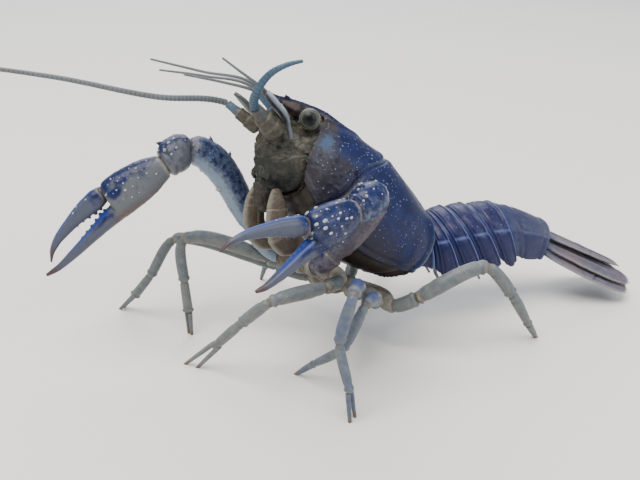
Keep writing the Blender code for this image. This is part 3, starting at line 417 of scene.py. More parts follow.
def knob_finish(name, base, shade):
    """Bare chitin with little pigment: the worn tops of knobs, and bristles."""
    material, tree = blank(name)
    where = add(tree, "ShaderNodeTexCoord").outputs["Object"]
    cloud = add(tree, "ShaderNodeTexNoise", {"Vector": where, "Scale": per_mm(1.6), "Detail": 3.0})
    colour = add(tree, "ShaderNodeMix", {0: cloud.outputs["Fac"], 6: tone(base), 7: tone(shade)},
                 data_type="RGBA").outputs[2]
    shader = add(tree, "ShaderNodeBsdfPrincipled",
                 {"Base Color": colour, "Roughness": 0.42, "Specular IOR Level": 0.25,
                  "Subsurface Weight": 0.1, "Subsurface Radius": (1.0, 1.0, 1.0),
                  "Subsurface Scale": 0.3 * MM})
    add(tree, "ShaderNodeOutputMaterial", {"Surface": shader.outputs[0]})
    return material


SHELL_KNOBS = knob_tree()


def knobs(name, host, slot, finish, spacing, size, rise, long, grain, seed):
    """Knobs grown on a shell piece; sizes in mm, long is their length over their width."""
    settings = {"Spacing": spacing * MM, "Size": size * MM, "Rise": rise, "Long": long,
                "Grain": list(map(float, grain)), "Seed": seed, "Finish": finish}
    return dress(grown(name, host.data.copy(), SHELL_KNOBS, settings), slot)


# Rows along the axis, from the rear edge forward: u, half width, top, lower edge below the axis.
CARAPACE = [
    (-3.0, 8.2, 7.0, 6.6), (0.0, 9.0, 8.5, 8.0), (4.0, 9.9, 9.2, 9.8), (11.0, 10.5, 10.1, 11.6),
    (17.5, 10.2, 10.7, 12.2), (22.0, 9.4, 10.1, 11.6), (26.0, 8.7, 9.6, 10.4), (31.0, 7.4, 8.5, 8.4),
    (35.0, 6.4, 7.4, 6.8)]
# Rows: angle from the back's midline, then where the rear edge, the groove and the front edge lie.
CARAPACE_EDGES = [
    (0.0, 0.0, 16.6, 33.4), (35.0, -0.4, 18.2, 33.6), (70.0, -1.6, 22.2, 34.0), (95.0, -1.8, 23.4, 33.6),
    (120.0, -0.8, 25.2, 31.5), (150.0, 1.0, 26.6, 30.0), (180.0, 1.6, 27.0, 29.6)]
FULL_ABOVE, FULL_BELOW = 0.92, 0.70
REAR_FACE, FRONT_FACE, RECESS = 1.6, 29.4, 0.86
GROOVE_DEPTH, GROOVE_WIDTH = 0.50, 0.55
# Rostrum rows: u, half width, top at the midline, raised margin, thickness.
ROSTRUM = [
    (28.0, 3.3, 9.0, 0.0, 3.0), (32.5, 3.2, 8.1, 0.25, 3.0), (36.0, 2.7, 6.9, 0.40, 2.9),
    (40.0, 1.75, 5.3, 0.35, 1.8), (41.6, 0.95, 4.7, 0.15, 1.2), (43.5, 0.30, 4.0, 0.0, 0.6)]
# Along u: the rostrum's raised margin, its top, and half the width of its floor.
BEAK_MARGIN = [(28.0, 3.1), (32.5, 2.9), (36.0, 2.45), (40.0, 1.5), (43.5, 0.2)]
BEAK_TOP = [(28.0, 9.0), (32.5, 8.35), (36.0, 7.3), (40.0, 5.65), (43.5, 4.0)]
BEAK_FLOOR = [(28, 3.3), (36, 2.7), (40, 1.75), (43.5, 0.6)]
# Along u: how far the furrow of each gill chamber and the ridge behind each eye lie from the midline.
GILL_FURROW = [(0.0, 2.0), (3.0, 0.9), (8.0, 0.42), (13.5, 0.55), (16.2, 1.6)]
EYE_RIDGE = [(24.0, 3.0), (30.0, 4.0), (34.0, 4.6)]
# Where the lower margin of the shell runs, in degrees from the midline, along u.
LOWER_MARGIN = [(-3.0, 118.0), (4.0, 124.0), (14.0, 132.0), (24.0, 130.0), (30.0, 124.0), (35.0, 116.0)]


def shell_point(stations, angles):
    """Points of the shell at stations (0 rear edge, 1 groove, 2 front edge) and angles."""
    rear, groove, front = smooth(CARAPACE_EDGES, np.abs(angles))
    u = np.where(stations <= 1, rear + (groove - rear) * stations,
                 groove + (front - groove) * (stations - 1))
    half, top, low = smooth(CARAPACE, u)
    a = np.radians(angles)
    side, up = np.sin(a), np.cos(a)
    full = np.where(up > 0, FULL_ABOVE, FULL_BELOW)
    side = np.sign(side) * np.abs(side) ** full * half
    up = np.where(up > 0, np.abs(up) ** full * top, -np.abs(up) ** full * low)
    return np.stack((u, side, up), -1)


def shell_rings(rows, count):
    """Rings of the shell from its rear edge to its front one, with a recessed face at each end."""
    angles = 180.0 - 360.0 * (np.arange(count) + 0.5) / count
    rings = [shell_point(np.full(count, s), angles) for s in np.linspace(0.0, 2.0, rows)]
    for ring, u, spot in ((rings[0], REAR_FACE, 0), (rings[-1], FRONT_FACE, len(rings) + 1)):
        middle = np.array((0.0, ring[:, 1].mean(), ring[:, 2].mean()))
        flat = middle + (ring - middle) * RECESS
        flat[:, 0] = u
        rings.insert(spot, flat)
    return np.array([thorax(ring) for ring in rings])


def rostrum_rings(rows):
    """Rings of the rostrum: a shallow trough between raised margins, keeled below."""
    rings = []
    for u in np.linspace(ROSTRUM[0][0], ROSTRUM[-1][0], rows):
        half, top, rim, thick = smooth(ROSTRUM, u)
        ring = [(half, top + rim - 0.35), (half * 0.86, top + rim + 0.12), (half * 0.68, top + rim * 0.7),
                (half * 0.3, top + rim * 0.1 + 0.05), (0, top + 0.12)]
        ring += [(-v, w) for v, w in ring[-2::-1]]
        ring += [(-half * 0.8, top - thick * 0.7), (0, top - thick), (half * 0.8, top - thick * 0.7)]
        rings.append(thorax([(u, v, w) for v, w in ring]))
    return np.array(rings)


def spine(at, way, radius, length, sunk, count=10):
    """A smooth pointed spine whose root is sunk behind the point it stands on."""
    way = unit(way)
    side = unit(np.cross(way, (0.31, 0.53, 0.79)))
    up = np.cross(way, side)
    angle = 2 * np.pi * np.arange(count) / count
    circle = np.cos(angle)[:, None] * side + np.sin(angle)[:, None] * up
    rows = [(-sunk, 1.05), (0.0, 1.0), (0.25, 0.80), (0.5, 0.56), (0.75, 0.32), (0.92, 0.14), (1.0, 0.05)]
    return skin([at + way * (t * length if t > 0 else t) + circle * radius * r for t, r in rows])


# Spines: station, angle, radius, length, pointing forward and outward.
CARAPACE_SPINES = [(1.10, 82.0, 0.55, 1.3), (1.86, 52.0, 0.45, 1.2), (1.92, 100.0, 0.45, 1.1)]
# The rostrum's tooth on each side, before its tip.
TOOTH_U, TOOTH_V, TOOTH_W = 40.6, 1.5, 5.3
shell_skins = [skin(shell_rings(70, 140)), skin(rostrum_rings(40))]
for station, angle, radius, length in CARAPACE_SPINES:
    for turn in (angle, -angle):
        foot = shell_point(np.array(station), np.array(turn))
        at = thorax(foot)
        out = unit(at - thorax((foot[0], 0, 0)))
        shell_skins.append(spine(at, out + 1.6 * THORAX_AXES[0], radius, length, 0.6))
for side in (1, -1):
    at = thorax((TOOTH_U, side * TOOTH_V, TOOTH_W))
    shell_skins.append(spine(at, THORAX_AXES[0] + side * 0.35 * THORAX_AXES[1], 0.42, 1.1, 0.7))
points, faces, normals = sculpt(shell_skins, 0.24, 5)
u, v, w = ((points - THORAX_AT) @ THORAX_AXES.T).T
half, top, low = smooth(CARAPACE, u)
full = np.where(w > 0, FULL_ABOVE, FULL_BELOW)
across = np.clip(np.abs(v) / half, 0, 1) ** (1 / full)
upward = np.clip(np.abs(w) / np.where(w > 0, top, low), 0, 1) ** (1 / full)
angle = np.degrees(np.arctan2(across, np.where(w > 0, upward, -upward)))
rear, groove, front = smooth(CARAPACE_EDGES, angle)
margin = (angle - smooth(LOWER_MARGIN, u)[0]) * np.pi / 180 * half
outer = (np.einsum("ij,ij->i", normals,
                   thorax(np.column_stack((u, v, w))) - thorax(np.column_stack((u, v * 0, w * 0)))) > 0)
on_rostrum = step(33.2, 34.6, u) * step(5.2, 4.2, np.abs(v)) * step(2.0, 3.2, w)
body = outer * (1 - on_rostrum)
# carving along the normals, in mm
carve = -GROOVE_DEPTH * hump(u, groove, GROOVE_WIDTH) * step(150, 120, angle)
carve += 0.12 * hump(u, groove - 1.25, 0.7) + 0.10 * hump(u, groove + 1.2, 0.7)
# the gill chambers meet in two fine furrows along the back, behind the groove
furrow = smooth(GILL_FURROW, u)[0]
carve -= 0.20 * hump(np.abs(v), furrow, 0.28) * step(-0.5, 1.5, u) * step(16.8, 15.4, u) * (w > 0)
# a raised rim with a furrow inside it, round the rear and the lower margins
from_rear = u - rear
carve += 0.16 * hump(from_rear, 0.55, 0.5) - 0.26 * hump(from_rear, 1.65, 0.45)
carve += 0.16 * hump(margin, -0.45, 0.45) - 0.18 * hump(margin, -1.35, 0.45)
carve -= 0.75 * step(0.05, 0.7, margin)
# the ridge behind each eye, and the swollen cheek with its warts
ridge = hump(np.abs(v), smooth(EYE_RIDGE, u)[0], 0.55) * step(23.0, 26.0, u) * (w > 0)
carve += 0.28 * ridge
cheek = step(22.0, 26.0, u - 0.02 * (angle - 90)) * step(70.0, 84.0, angle) * step(6.0, 1.0, margin)
warts = np.clip(wander(points, 0.75, 1) * 1.6 - 0.25, 0.0, 1.0)
carve += 0.16 * cheek * warts
carve += 0.05 * wander(points, 2.6, 2) + 0.02 * wander(points, 0.9, 3)
points = points + normals * (carve * body)[:, None]
# the floor of the rostrum is mottled, its raised margins stay dark
rim_line = hump(np.abs(v), smooth(BEAK_MARGIN, u)[0], 0.32) * (w > 2)
beak_top = smooth(BEAK_TOP, u)[0]
beak_side = (step(30.5, 32.5, u) * step(3.9, 3.5, np.abs(v)) * step(2.0, 2.6, w)
             * step(0.4, 0.9, beak_top - w))
rim_line = rim_line * step(0.95, 0.45, beak_top - w)
top_face = step(29.5, 31.5, u) * step(1.05, 0.75, np.abs(v) / smooth(BEAK_FLOOR, u)[0]) * (w > 2)
# the shell's front turns olive towards the face
to_face = u + 0.035 * (angle - 60) * (angle > 60) + wander(points, 1.6, 42)
masks = {
    "olive": step(28.6, 31.6, to_face) * step(20, 40, angle) + top_face + 0.9 * beak_side,
    # the umber layer: dark brown warts on the cheek, and painted shade that darkens the lower flank
    "umber": np.maximum(cheek * 0.9, 0.75 * step(78, 112, angle + 1.2 * (u - 14))),
    # the cloud layer is a painted highlight: a lighter grey-blue patch on the upper flank behind the face
    "cloud": hump(u, 31.6, 1.5) * hump(angle, 74, 12) * 1.1,
    "rosy": np.maximum(top_face, beak_side) * (0.55 + 0.75 * np.clip(wander(points, 0.9, 41) * 2, -1, 1)),
    "lozenge": hump(u, 32.3, 1.3) * hump(angle, 42, 9) * 1.3,
    # the groove layer is a painted highlight: a lighter blue band along the front side of the neck groove
    "groove": 0.8 * hump(u, groove + 0.45, 0.45) * step(28, 44, angle) * step(92, 70, angle),
    "line": np.maximum(rim_line * step(29, 31, u), 0.7 * ridge * step(27, 29, u)),
    "rim": np.maximum(hump(from_rear, 0.3, 0.55) * (from_rear > -1), 0.12 * hump(margin, -0.3, 0.4)) * outer,
    # on the shell the belly layer is painted shade: the underside below the margin and the inner face are
    # painted dark brown as the shade under the shell
    "belly": step(0.2, 1.0, margin) + (1 - outer) * step(34, 30, u),
    "speck": 0.8 * step(6, 1, margin) * (1 - 0.5 * step(29, 32, u)),
    "knob": step(-1.0, -2.2, margin) * step(1.6, 3.0, from_rear) * (0.45 + 0.45 * step(10, 22, u)) * body
            * np.clip(0.75 + 1.6 * wander(points, 2.4, 43), 0.0, 1.3)
            * step(0.4, 1.0, np.abs(u - groove)) * (1 - top_face)}
CARAPACE_LAYERS = [
    # the cloud layer is a painted highlight
    # the umber layer is the cheek's dark brown and painted shade on the lower flank
    ("umber", "#201d24", 1.3), ("olive", "#37343a", 1.6), ("cloud", "#3b4f6a", 3.2),
    # the groove layer is a painted highlight
    ("lozenge", "#3a332f", 1.6), ("rosy", "#5f534f", 2.6), ("groove", "#2c4263", 2.4),
    # on the shell the belly layer is painted shade
    ("line", "#0c1230", 0.5), ("rim", "#56686f", 0.6), ("belly", "#2c2723", 0.5)]
# Blue-pigmented chitin, wet and lightly polished: deep navy clouds with pale bristle pores.
navy_shell = shell_finish("navy_carapace_chitin", "#10183a", "#1a244f", CARAPACE_LAYERS, mottle=2.2,
                          specks=("#66729c", 0.80, 0.17), rough=0.40, coat=0.05)
carapace = dress(piece("carapace_shell", points, faces, navy_shell, masks), "carapace_blue", "carapace")
# The blunt knobs of the carapace, pale where the pigment thins over them.
pale_knob = knob_finish("pale_carapace_knob_chitin", "#768196", "#3f4a69")
knobs("carapace_knobs", carapace, "carapace_blue", pale_knob, 0.82, 0.15, 0.7, 1.1, THORAX_AXES[0], 3)


# Abdomen
# Six arched rings of chitin that slide under each other, each with a hanging side plate and a
# pale, thin rear edge; a soft belly closes them below and four pairs of swimmerets hang there.

ABDOMEN_AT = np.array((21.7, 17.7, 16.6))
ABDOMEN_YAW = 16.0
GAP = 0.3
# Rows: segment length, yaw, pitch, half width, top, lobe depth below the axis.
SEGMENTS = [
    (4.3, 16.0, 3.0, 8.4, 6.3, 5.4), (4.7, 16.0, 3.0, 8.5, 6.6, 5.8), (4.9, 16.0, 1.0, 8.3, 6.9, 5.8),
    (5.2, 15.0, -2.0, 7.8, 7.0, 5.4), (10.0, 12.0, -13.0, 6.9, 6.9, 3.6)]
BELLY = 3.4
LAST_WIDTH, LAST_HEIGHT = 0.64, 0.58
# Half width, top and lobe depth of the first segment, where it leaves the shell and at its rear.
FIRST_FRONT, FIRST_REAR = (5.9, 5.4, 3.8), (7.7, 5.8, BELLY * 1.05)
# How far forward each joint leans for each millimetre above the axis.
LEAN = (0.12, 0.35, 0.44, 0.52, 0.46, 0.0)
SECTION_FINENESS = 6


def ring_masks(rings, **values):
    """Masks over a skin's points, from values for its rings, for their points or for both."""
    masks = {}
    for key, value in values.items():
        full = np.broadcast_to(np.asarray(value, float), rings.shape[:2])
        masks[key] = np.append(full.ravel(), (full[0].mean(), full[-1].mean()))
    return masks


def rounder(rings, fineness):
    """Closed rings with smooth curves through their points (Catmull-Rom)."""
    rings = np.asarray(rings, float)
    p0, p1, p2, p3 = (np.roll(rings, n, axis=1) for n in (1, 0, -1, -2))
    parts = []
    for t in np.arange(fineness) / fineness:
        parts.append(0.5 * (2 * p1 + (p2 - p0) * t + (2 * p0 - 5 * p1 + 4 * p2 - p3) * t**2
                            + (3 * p1 - p0 - 3 * p2 + p3) * t**3))
    return np.stack(parts, axis=2).reshape(rings.shape[0], -1, rings.shape[2])


def outward(rings):
    """The outward normals of a grid of closed rings."""
    along = np.gradient(rings, axis=0)
    round_way = np.roll(rings, -1, axis=1) - np.roll(rings, 1, axis=1)
    normals = np.cross(along, round_way)
    normals /= np.maximum(np.linalg.norm(normals, axis=-1, keepdims=True), 1e-9)
    away = rings - rings.mean(axis=1, keepdims=True)
    return normals * np.sign((normals * away).sum())


def level_axes(yaw, pitch):
    """Backward, left and up of a tail part, which has no roll."""
    back = heading(yaw, pitch)
    left = heading(yaw - 90.0, 0.0)
    return back, left, np.cross(left, back)


def segment_section(half, top, lobe):
    """Half-arch above, hanging side lobes and a flat belly between them."""
    arch = [(half * math.sin(a), top * max(0.0, math.cos(a)) ** 0.9)
            for a in np.radians(np.linspace(90, -90, 13))]
    left = [(half * 0.99, -lobe * 0.5), (half * 0.93, -lobe * 0.9), (half * 0.86, -lobe),
            (half * 0.74, -lobe * 0.8), (half * 0.6, -BELLY)]
    right = [(-v, w) for v, w in left]
    return np.array(arch + right + [(0.0, -BELLY)] + left[::-1])


def path(points, ways, stations, reach=0.36):
    """Centres and ways at stations (0 at the first point, 1 at the second ...) of a smooth path."""
    points, ways, stations = (np.asarray(x, float) for x in (points, ways, stations))
    i = np.clip(stations.astype(int), 0, len(points) - 2)
    t = (stations - i)[:, None]
    a, d = points[i], points[i + 1]
    length = np.linalg.norm(d - a, axis=1, keepdims=True)
    b = a + ways[i] * length * reach
    c = d - ways[i + 1] * length * reach
    s = 1 - t
    centres = s**3 * a + 3 * s * s * t * b + 3 * s * t * t * c + t**3 * d
    return centres, unit(s * s * (b - a) + 2 * s * t * (c - b) + t * t * (d - c))


def joint_ways(points):
    """The way at each joint: along the first and last links, halfway between links elsewhere."""
    links = unit(np.diff(np.asarray(points, float), axis=0))
    return np.vstack((links[:1], unit(links[:-1] + links[1:]), links[-1:]))


def onto_plane(ring, point, normal, way):
    """A ring slid along its way onto the plane through point that is square to normal."""
    return ring - way * ((ring - point) @ normal / (way @ normal))[:, None]


def limb(points, ways, hint, table, rows, count, span=(0.0, 1.0), detail=None, ends=(0.5, 0.5), face=None,
         floor=False, reach=0.36):
    """Rings of a limb piece, with its stations and angles.

    Rows of the table are (station, half width, half height); detail adds height over (station,
    angle); ends are how far each end bulges, as a share of its radius; face turns the first ring
    square to another way; floor cuts the end on the floor; reach is how softly the path bends."""
    stations = np.linspace(*span, rows)
    centres, turned = path(points, ways, stations, reach)
    a, b = smooth(table, stations)
    angle = 2 * np.pi * (np.arange(count) + 0.5) / count
    extra = detail(stations[:, None], angle[None, :]) if detail else np.zeros((rows, count))
    side_way = unit(hint - (turned @ hint)[:, None] * turned)
    up_way = np.cross(turned, side_way)
    side = (np.cos(angle) * (a[:, None] + extra))[..., None]
    up = (np.sin(angle) * (b[:, None] + extra))[..., None]
    rings = centres[:, None] + side * side_way[:, None] + up * up_way[:, None]
    if face is not None:
        rings[0] = onto_plane(rings[0], centres[0], face, turned[0])
    if floor:
        rings = rings - turned[:, None] * np.minimum(rings[..., 2:], 0.0) / turned[:, None, 2:]
        rings[-1] = onto_plane(rings[-1], np.zeros(3), np.array((0.0, 0.0, 1.0)), turned[-1])
    for end, bulge, way in ((0, ends[0], -turned[0]), (-1, ends[1], turned[-1])):
        if not bulge:
            continue
        ring = rings[0] if end == 0 else rings[-1]
        middle, radius = ring.mean(0), (a[end] + b[end]) / 2
        for turn in (25.0, 50.0, 75.0):
            t = math.radians(turn)
            inner = middle + (ring - middle) * math.cos(t) + way * radius * bulge * math.sin(t)
            rings = np.concatenate((inner[None], rings) if end == 0 else (rings, inner[None]))
            stations = np.concatenate((stations[:1], stations) if end == 0 else (stations, stations[-1:]))
    return rings, stations[:, None], angle[None, :]


ABDOMEN_LAYERS = [
    ("facet", "#202752", 0.6), ("grey", "#42465a", 1.3), ("side", "#1b2148", 1.4), ("line", "#5a6796", 0.5),
    ("belly", "#5a5460", 0.6)]
# Thinner, more flexible chitin over blue-violet skin: glossy, with a pale translucent hem.
tail_shell = shell_finish("violet_abdomen_chitin", "#1f2150", "#0d1133", ABDOMEN_LAYERS, mottle=1.5,
                          specks=("#4f5a94", 1.0, 0.17), rough=0.38, coat=0.06, flesh=0.03)
# Rows: swimmeret joints down and back; then station, half width, half thickness.
SWIMMERET_OUT = 3.4
SWIMMERET_JOINTS = [(0.0, -2.6), (-0.2, -5.4), (1.6, -9.4)]
SWIMMERET_SIZES = [(0.0, 0.55, 0.45), (1.0, 0.62, 0.40), (1.5, 0.85, 0.30), (2.0, 0.35, 0.26)]
# Horny, almost colourless skin of the small limbs: pale and a little translucent.
swimmeret_skin = shell_finish("pale_swimmeret_cuticle", "#6f738a", "#5f6278", mottle=1.2, rough=0.42,
                              flesh=0.10)
column = np.arange(24 * SECTION_FINENESS) / SECTION_FINENESS
arch_angle = np.where(column <= 12, 90 - 15 * column, 90)
in_lobe = step(12.4, 13.4, column) * step(17.2, 16.4, column) + step(18.8, 19.6, column)
under = step(16.2, 17.0, column) * step(19.8, 19.0, column)
hinge_line = hump(np.abs(arch_angle), 68, 3.2) * (column <= 12)
low_side = np.maximum(step(66, 76, np.abs(arch_angle)), in_lobe) * (1 - under)


def tergite(name, rings, t, greyness, node):
    """One ring of the abdomen from its section rings and how far along it each lies."""
    rings = rounder(rings, SECTION_FINENESS)
    t = t[:, None]
    above = 1 - under
    carve = -0.34 * step(0.24, 0.13, t) * above - 0.16 * hump(t, 0.30, 0.05) * above
    carve = carve + 0.17 * hump(t, 0.93, 0.06) * above - 0.10 * hump(t, 0.83, 0.04) * above
    carve = carve - 0.13 * hinge_line * step(0.2, 0.35, t) + 0.10 * low_side * hump(t, 0.55, 0.25)
    carve = carve - 0.12 * under * hump(t, 0.5, 0.2)
    rings = rings + outward(rings) * carve[..., None]
    pale_line = np.maximum(hump(t, 0.975, 0.045) * above, 0.75 * hinge_line * step(0.18, 0.3, t))
    masks = ring_masks(
        rings, facet=0.8 * step(0.26, 0.16, t) * above, grey=greyness,
        side=0.75 * low_side * step(0.15, 0.3, t), line=pale_line * (1.0 - 0.7 * np.clip(greyness, 0, 1)),
        belly=under, speck=step(0.3, 0.4, t) * step(0.9, 0.8, t) * above)
    dress(piece(name, *skin(rings), tail_shell, masks), "abdomen_blue", node)


at = ABDOMEN_AT.copy()
back, left, up = level_axes(ABDOMEN_YAW, SEGMENTS[0][2])
rear_ring = segment_section(*FIRST_REAR)
rear_ring = at - back * (GAP + LEAN[0] * rear_ring[:, 1:]) + rear_ring[:, :1] * left + rear_ring[:, 1:] * up
front_ring = thorax([(REAR_FACE - GAP, v, w) for v, w in segment_section(*FIRST_FRONT)])
t = np.linspace(0.0, 1.0, 24)
tergite("tergite_1", front_ring * (1 - t[:, None, None]) + rear_ring * t[:, None, None], 0.2 + t * 0.8, 0.12,
        "abdomen_1")
for number, (length, yaw, pitch, half, top, lobe) in enumerate(SEGMENTS):
    ahead = SEGMENTS[max(0, number - 1)]
    behind = SEGMENTS[min(len(SEGMENTS) - 1, number + 1)]
    last = number == len(SEGMENTS) - 1
    half_end = half * LAST_WIDTH if last else behind[3]
    top_end = top * LAST_HEIGHT if last else behind[4]
    way = heading(yaw, pitch)
    ts = np.linspace(0.0, 1.0, 56 if last else 40)
    rings = []
    for t in ts:
        near = ahead if t < 0.5 else behind
        share = abs(t - 0.5)
        _, left, up = level_axes(yaw + (near[1] - yaw) * share, pitch + (near[2] - pitch) * share)
        swell = 0.93 + 0.07 * math.sin(math.pi * min(1.0, t * 0.62))
        a = (half * (1 - t) + half_end * t) * swell
        b = (top * (1 - t) + top_end * t) * swell
        hang = BELLY + 0.3 + (lobe - BELLY) * math.sin(math.pi * (0.08 + 0.84 * t)) ** 0.8
        ring = segment_section(a, b, hang)
        lean = LEAN[number] * (1 - t) + LEAN[number + 1] * t
        back_by = t * (length - GAP) - lean * ring[:, 1:]
        rings.append(at + way * back_by + ring[:, :1] * left + ring[:, 1:] * up)
    greyness = 0.45 + 0.5 * ts[:, None] if last else 0.08 * number
    tergite(f"tergite_{number + 2}", np.array(rings), ts, greyness, f"abdomen_{number + 2}")
    if not last:
        _, left, up = level_axes(yaw, pitch)
        middle = at + way * length * 0.45
        for name, sign in (("left", 1), ("right", -1)):
            out = left * sign
            joints = [middle + out * SWIMMERET_OUT + way * a + up * b for a, b in SWIMMERET_JOINTS]
            rings, _, _ = limb(joints, joint_ways(joints), out, SWIMMERET_SIZES, 30, 20, span=(0.0, 2.0),
                               detail=lambda s, q: -0.14 * hump(s, 1.0, 0.06))
            dress(piece(f"swimmeret_{number + 2}_{name}", *skin(rings), swimmeret_skin), "abdomen_blue")
    at = at + way * length


# Tail fan
# The telson and four side blades, thin flat plates of chitin with a middle rib, a cross joint on
# the outer pair and a dense hem of bristles along the free edges.

# Rows: distance from the root, half width, half thickness.
TELSON = [(0.0, 3.0, 0.45), (3.6, 3.5, 0.38), (10.0, 3.3, 0.33), (16.0, 3.0, 0.30), (19.6, 2.3, 0.28),
          (21.2, 1.2, 0.26)]
INNER = [(0.0, 1.1, 0.45), (3.6, 1.9, 0.38), (9.5, 2.4, 0.33), (16.0, 2.6, 0.30), (21.0, 2.1, 0.28),
         (23.0, 1.0, 0.26)]
OUTER = [(0.0, 1.2, 0.45), (3.6, 2.3, 0.38), (9.5, 3.0, 0.33), (16.0, 3.1, 0.30), (20.4, 2.4, 0.28),
         (22.4, 1.1, 0.26)]
# Each plate: rows, offset to the left, splay, height above the root, sideways tilt, cross joint.
PLATES = {
    "telson": (TELSON, 0.0, 0.0, 1.4, 0.0, 0.58),
    "uropod_inner_left": (INNER, 2.2, 4.0, -0.5, -0.42, None),
    "uropod_inner_right": (INNER, -2.2, -4.0, -0.5, 0.42, None),
    "uropod_outer_left": (OUTER, 2.7, 6.0, -2.1, -0.44, 0.60),
    "uropod_outer_right": (OUTER, -2.7, -6.0, -2.1, 0.44, 0.60)}
FAN_YAW, FAN_PITCH = 9.0, -25.5
PLATE_SECTION = [
    (1.0, 0.0), (0.85, 1.0), (0.45, 1.05), (0.14, 1.05), (0.0, 1.35), (-0.14, 1.05), (-0.45, 1.05),
    (-0.85, 1.0), (-1.0, 0.0), (-0.85, -1.0), (-0.45, -1.0), (0.0, -1.0), (0.45, -1.0), (0.85, -1.0)]
FAN_LAYERS = [("blush", "#685c64", 2.0), ("joint", "#38353c", 0.6), ("hem", "#74737c", 0.6),
              ("root", "#545868", 1.0)]
# Horny plates, barely calcified: satin grey-violet with brown clouds and a paler hem.
fan_shell = shell_finish("grey_violet_fan_chitin", "#5e5d6a", "#4d4b58", FAN_LAYERS, mottle=1.3,
                         specks=("#8d8b90", 0.9, 0.14), rough=0.40, coat=0.06, flesh=0.05)
back, left, up = level_axes(FAN_YAW, FAN_PITCH)
last, last_left, last_up = level_axes(SEGMENTS[-1][1], SEGMENTS[-1][2])
fan_edges = []
for name, (table, offset, splay, height, tilt, cross_joint) in PLATES.items():
    s = math.radians(splay)
    way = back * math.cos(s) + left * math.sin(s)
    side = unit(left * math.cos(s) - back * math.sin(s) + up * tilt)
    lift = np.cross(side, way)
    start = at + last * GAP / 2 + last_left * offset + last_up * height
    ts = np.concatenate((np.linspace(0.0, 0.9, 60), np.linspace(0.91, 1.0, 14)))
    half, thick = smooth(table, ts * table[-1][0])
    tip = np.sqrt(np.clip(1 - (np.clip(ts - 0.94, 0, 1) / 0.0605) ** 2, 0.02, 1))
    section = rounder(np.array(PLATE_SECTION)[None], SECTION_FINENESS)[0]
    flat = section[None] * np.stack((half * (0.75 + 0.25 * tip), thick * (0.5 + 0.5 * tip)), -1)[:, None]
    x, y = flat[..., 0], flat[..., 1]
    share = x / half[:, None]
    t = ts[:, None]
    top_side = step(-0.02, 0.08, y)
    ribs = 0.16 * hump(share, 0.0, 0.09) + 0.10 * hump(np.abs(share), 0.55, 0.12)
    y = y + top_side * ribs * step(0.0, 0.1, t) * step(1, 0.9, t)
    y = y - top_side * 0.14 * hump(np.abs(share), 0.30, 0.10) * step(0.9, 0.7, t)
    joint_mask = np.zeros_like(y)
    if cross_joint:
        bend = cross_joint + 0.03 * np.cos(share * 3.0)
        joint_mask = hump(t, bend, 0.012)
        y = y - top_side * 0.20 * joint_mask + top_side * 0.10 * hump(t, bend - 0.03, 0.015)
    rings = start + way * (t * table[-1][0])[..., None] + x[..., None] * side + y[..., None] * lift
    rings[0] = onto_plane(rings[0], start, last, way)
    masks = ring_masks(
        rings, blush=hump(t, 0.30, 0.16) * (0.7 if name == "telson" else 1.0) + 0.45 * step(0.6, 0.9, t),
        joint=0.9 * joint_mask, hem=np.maximum(step(0.86, 0.97, np.abs(share)), step(0.95, 0.985, t)),
        root=step(0.16, 0.02, t), speck=1.0)
    dress(piece(name + "_blade", *skin(rings), fan_shell, masks), "tail_violet", name)
    edge = [start + way * d + side * sgn * w for sgn, w, d in
            [(1, smooth(table, q)[0], q) for q in np.linspace(0.35, 0.97, 60) * table[-1][0]]
            + [(-1, smooth(table, q)[0], q) for q in np.linspace(0.97, 0.35, 60) * table[-1][0]]]
    fan_edges.append((np.array(edge), way, side))


def bristle_tree():
    """Geometry Nodes: every point of a mesh grows a tapering bristle along its way, a little askew."""
    tree, given = growing_tree("bristle_hem", {"Length": "Float", "Thickness": "Float", "Askew": "Float",
                                               "Seed": "Int"})
    way = add(tree, "GeometryNodeInputNamedAttribute", {"Name": "way"},
              data_type="FLOAT_VECTOR").outputs["Attribute"]
    share = add(tree, "GeometryNodeInputNamedAttribute", {"Name": "share"},
                data_type="FLOAT").outputs["Attribute"]
    lean = add(tree, "FunctionNodeRandomValue", {0: (-1, -1, -1), 1: (1, 1, 1), "Seed": given["Seed"]},
               data_type="FLOAT_VECTOR")
    askew = add(tree, "ShaderNodeVectorMath", {0: lean.outputs[0], "Scale": given["Askew"]},
                operation="SCALE").outputs[0]
    bent = add(tree, "ShaderNodeVectorMath", {0: way, 1: askew}, operation="ADD").outputs[0]
    turned = add(tree, "FunctionNodeAlignRotationToVector", {"Vector": bent}, axis="Z").outputs[0]
    vary = add(tree, "FunctionNodeRandomValue", {2: 0.6, 3: 1.0, "Seed": given["Seed"]},
               data_type="FLOAT").outputs[1]
    longer = add(tree, "ShaderNodeMath", {0: vary, 1: share}, operation="MULTIPLY").outputs[0]
    length = add(tree, "ShaderNodeMath", {0: given["Length"], 1: longer}, operation="MULTIPLY").outputs[0]
    scale = add(tree, "ShaderNodeCombineXYZ",
                {0: given["Thickness"], 1: given["Thickness"], 2: length}).outputs[0]
    cone = add(tree, "GeometryNodeMeshCone",
               {"Vertices": 5, "Side Segments": 2, "Radius Top": 0.15, "Radius Bottom": 1.0,
                "Depth": 1.0}).outputs[0]
    spots = add(tree, "GeometryNodeMeshToPoints", {"Mesh": given["Geometry"]}).outputs[0]
    grown_on = add(tree, "GeometryNodeInstanceOnPoints", {
        "Points": spots, "Instance": cone, "Rotation": turned, "Scale": scale}).outputs[0]
    return full_grown(tree, given, grown_on)


BRISTLE_HEM = bristle_tree()
# Real bristles are 0.03 mm thick and are drawn at 0.07, so that they show.
BRISTLE_RADIUS = 0.035


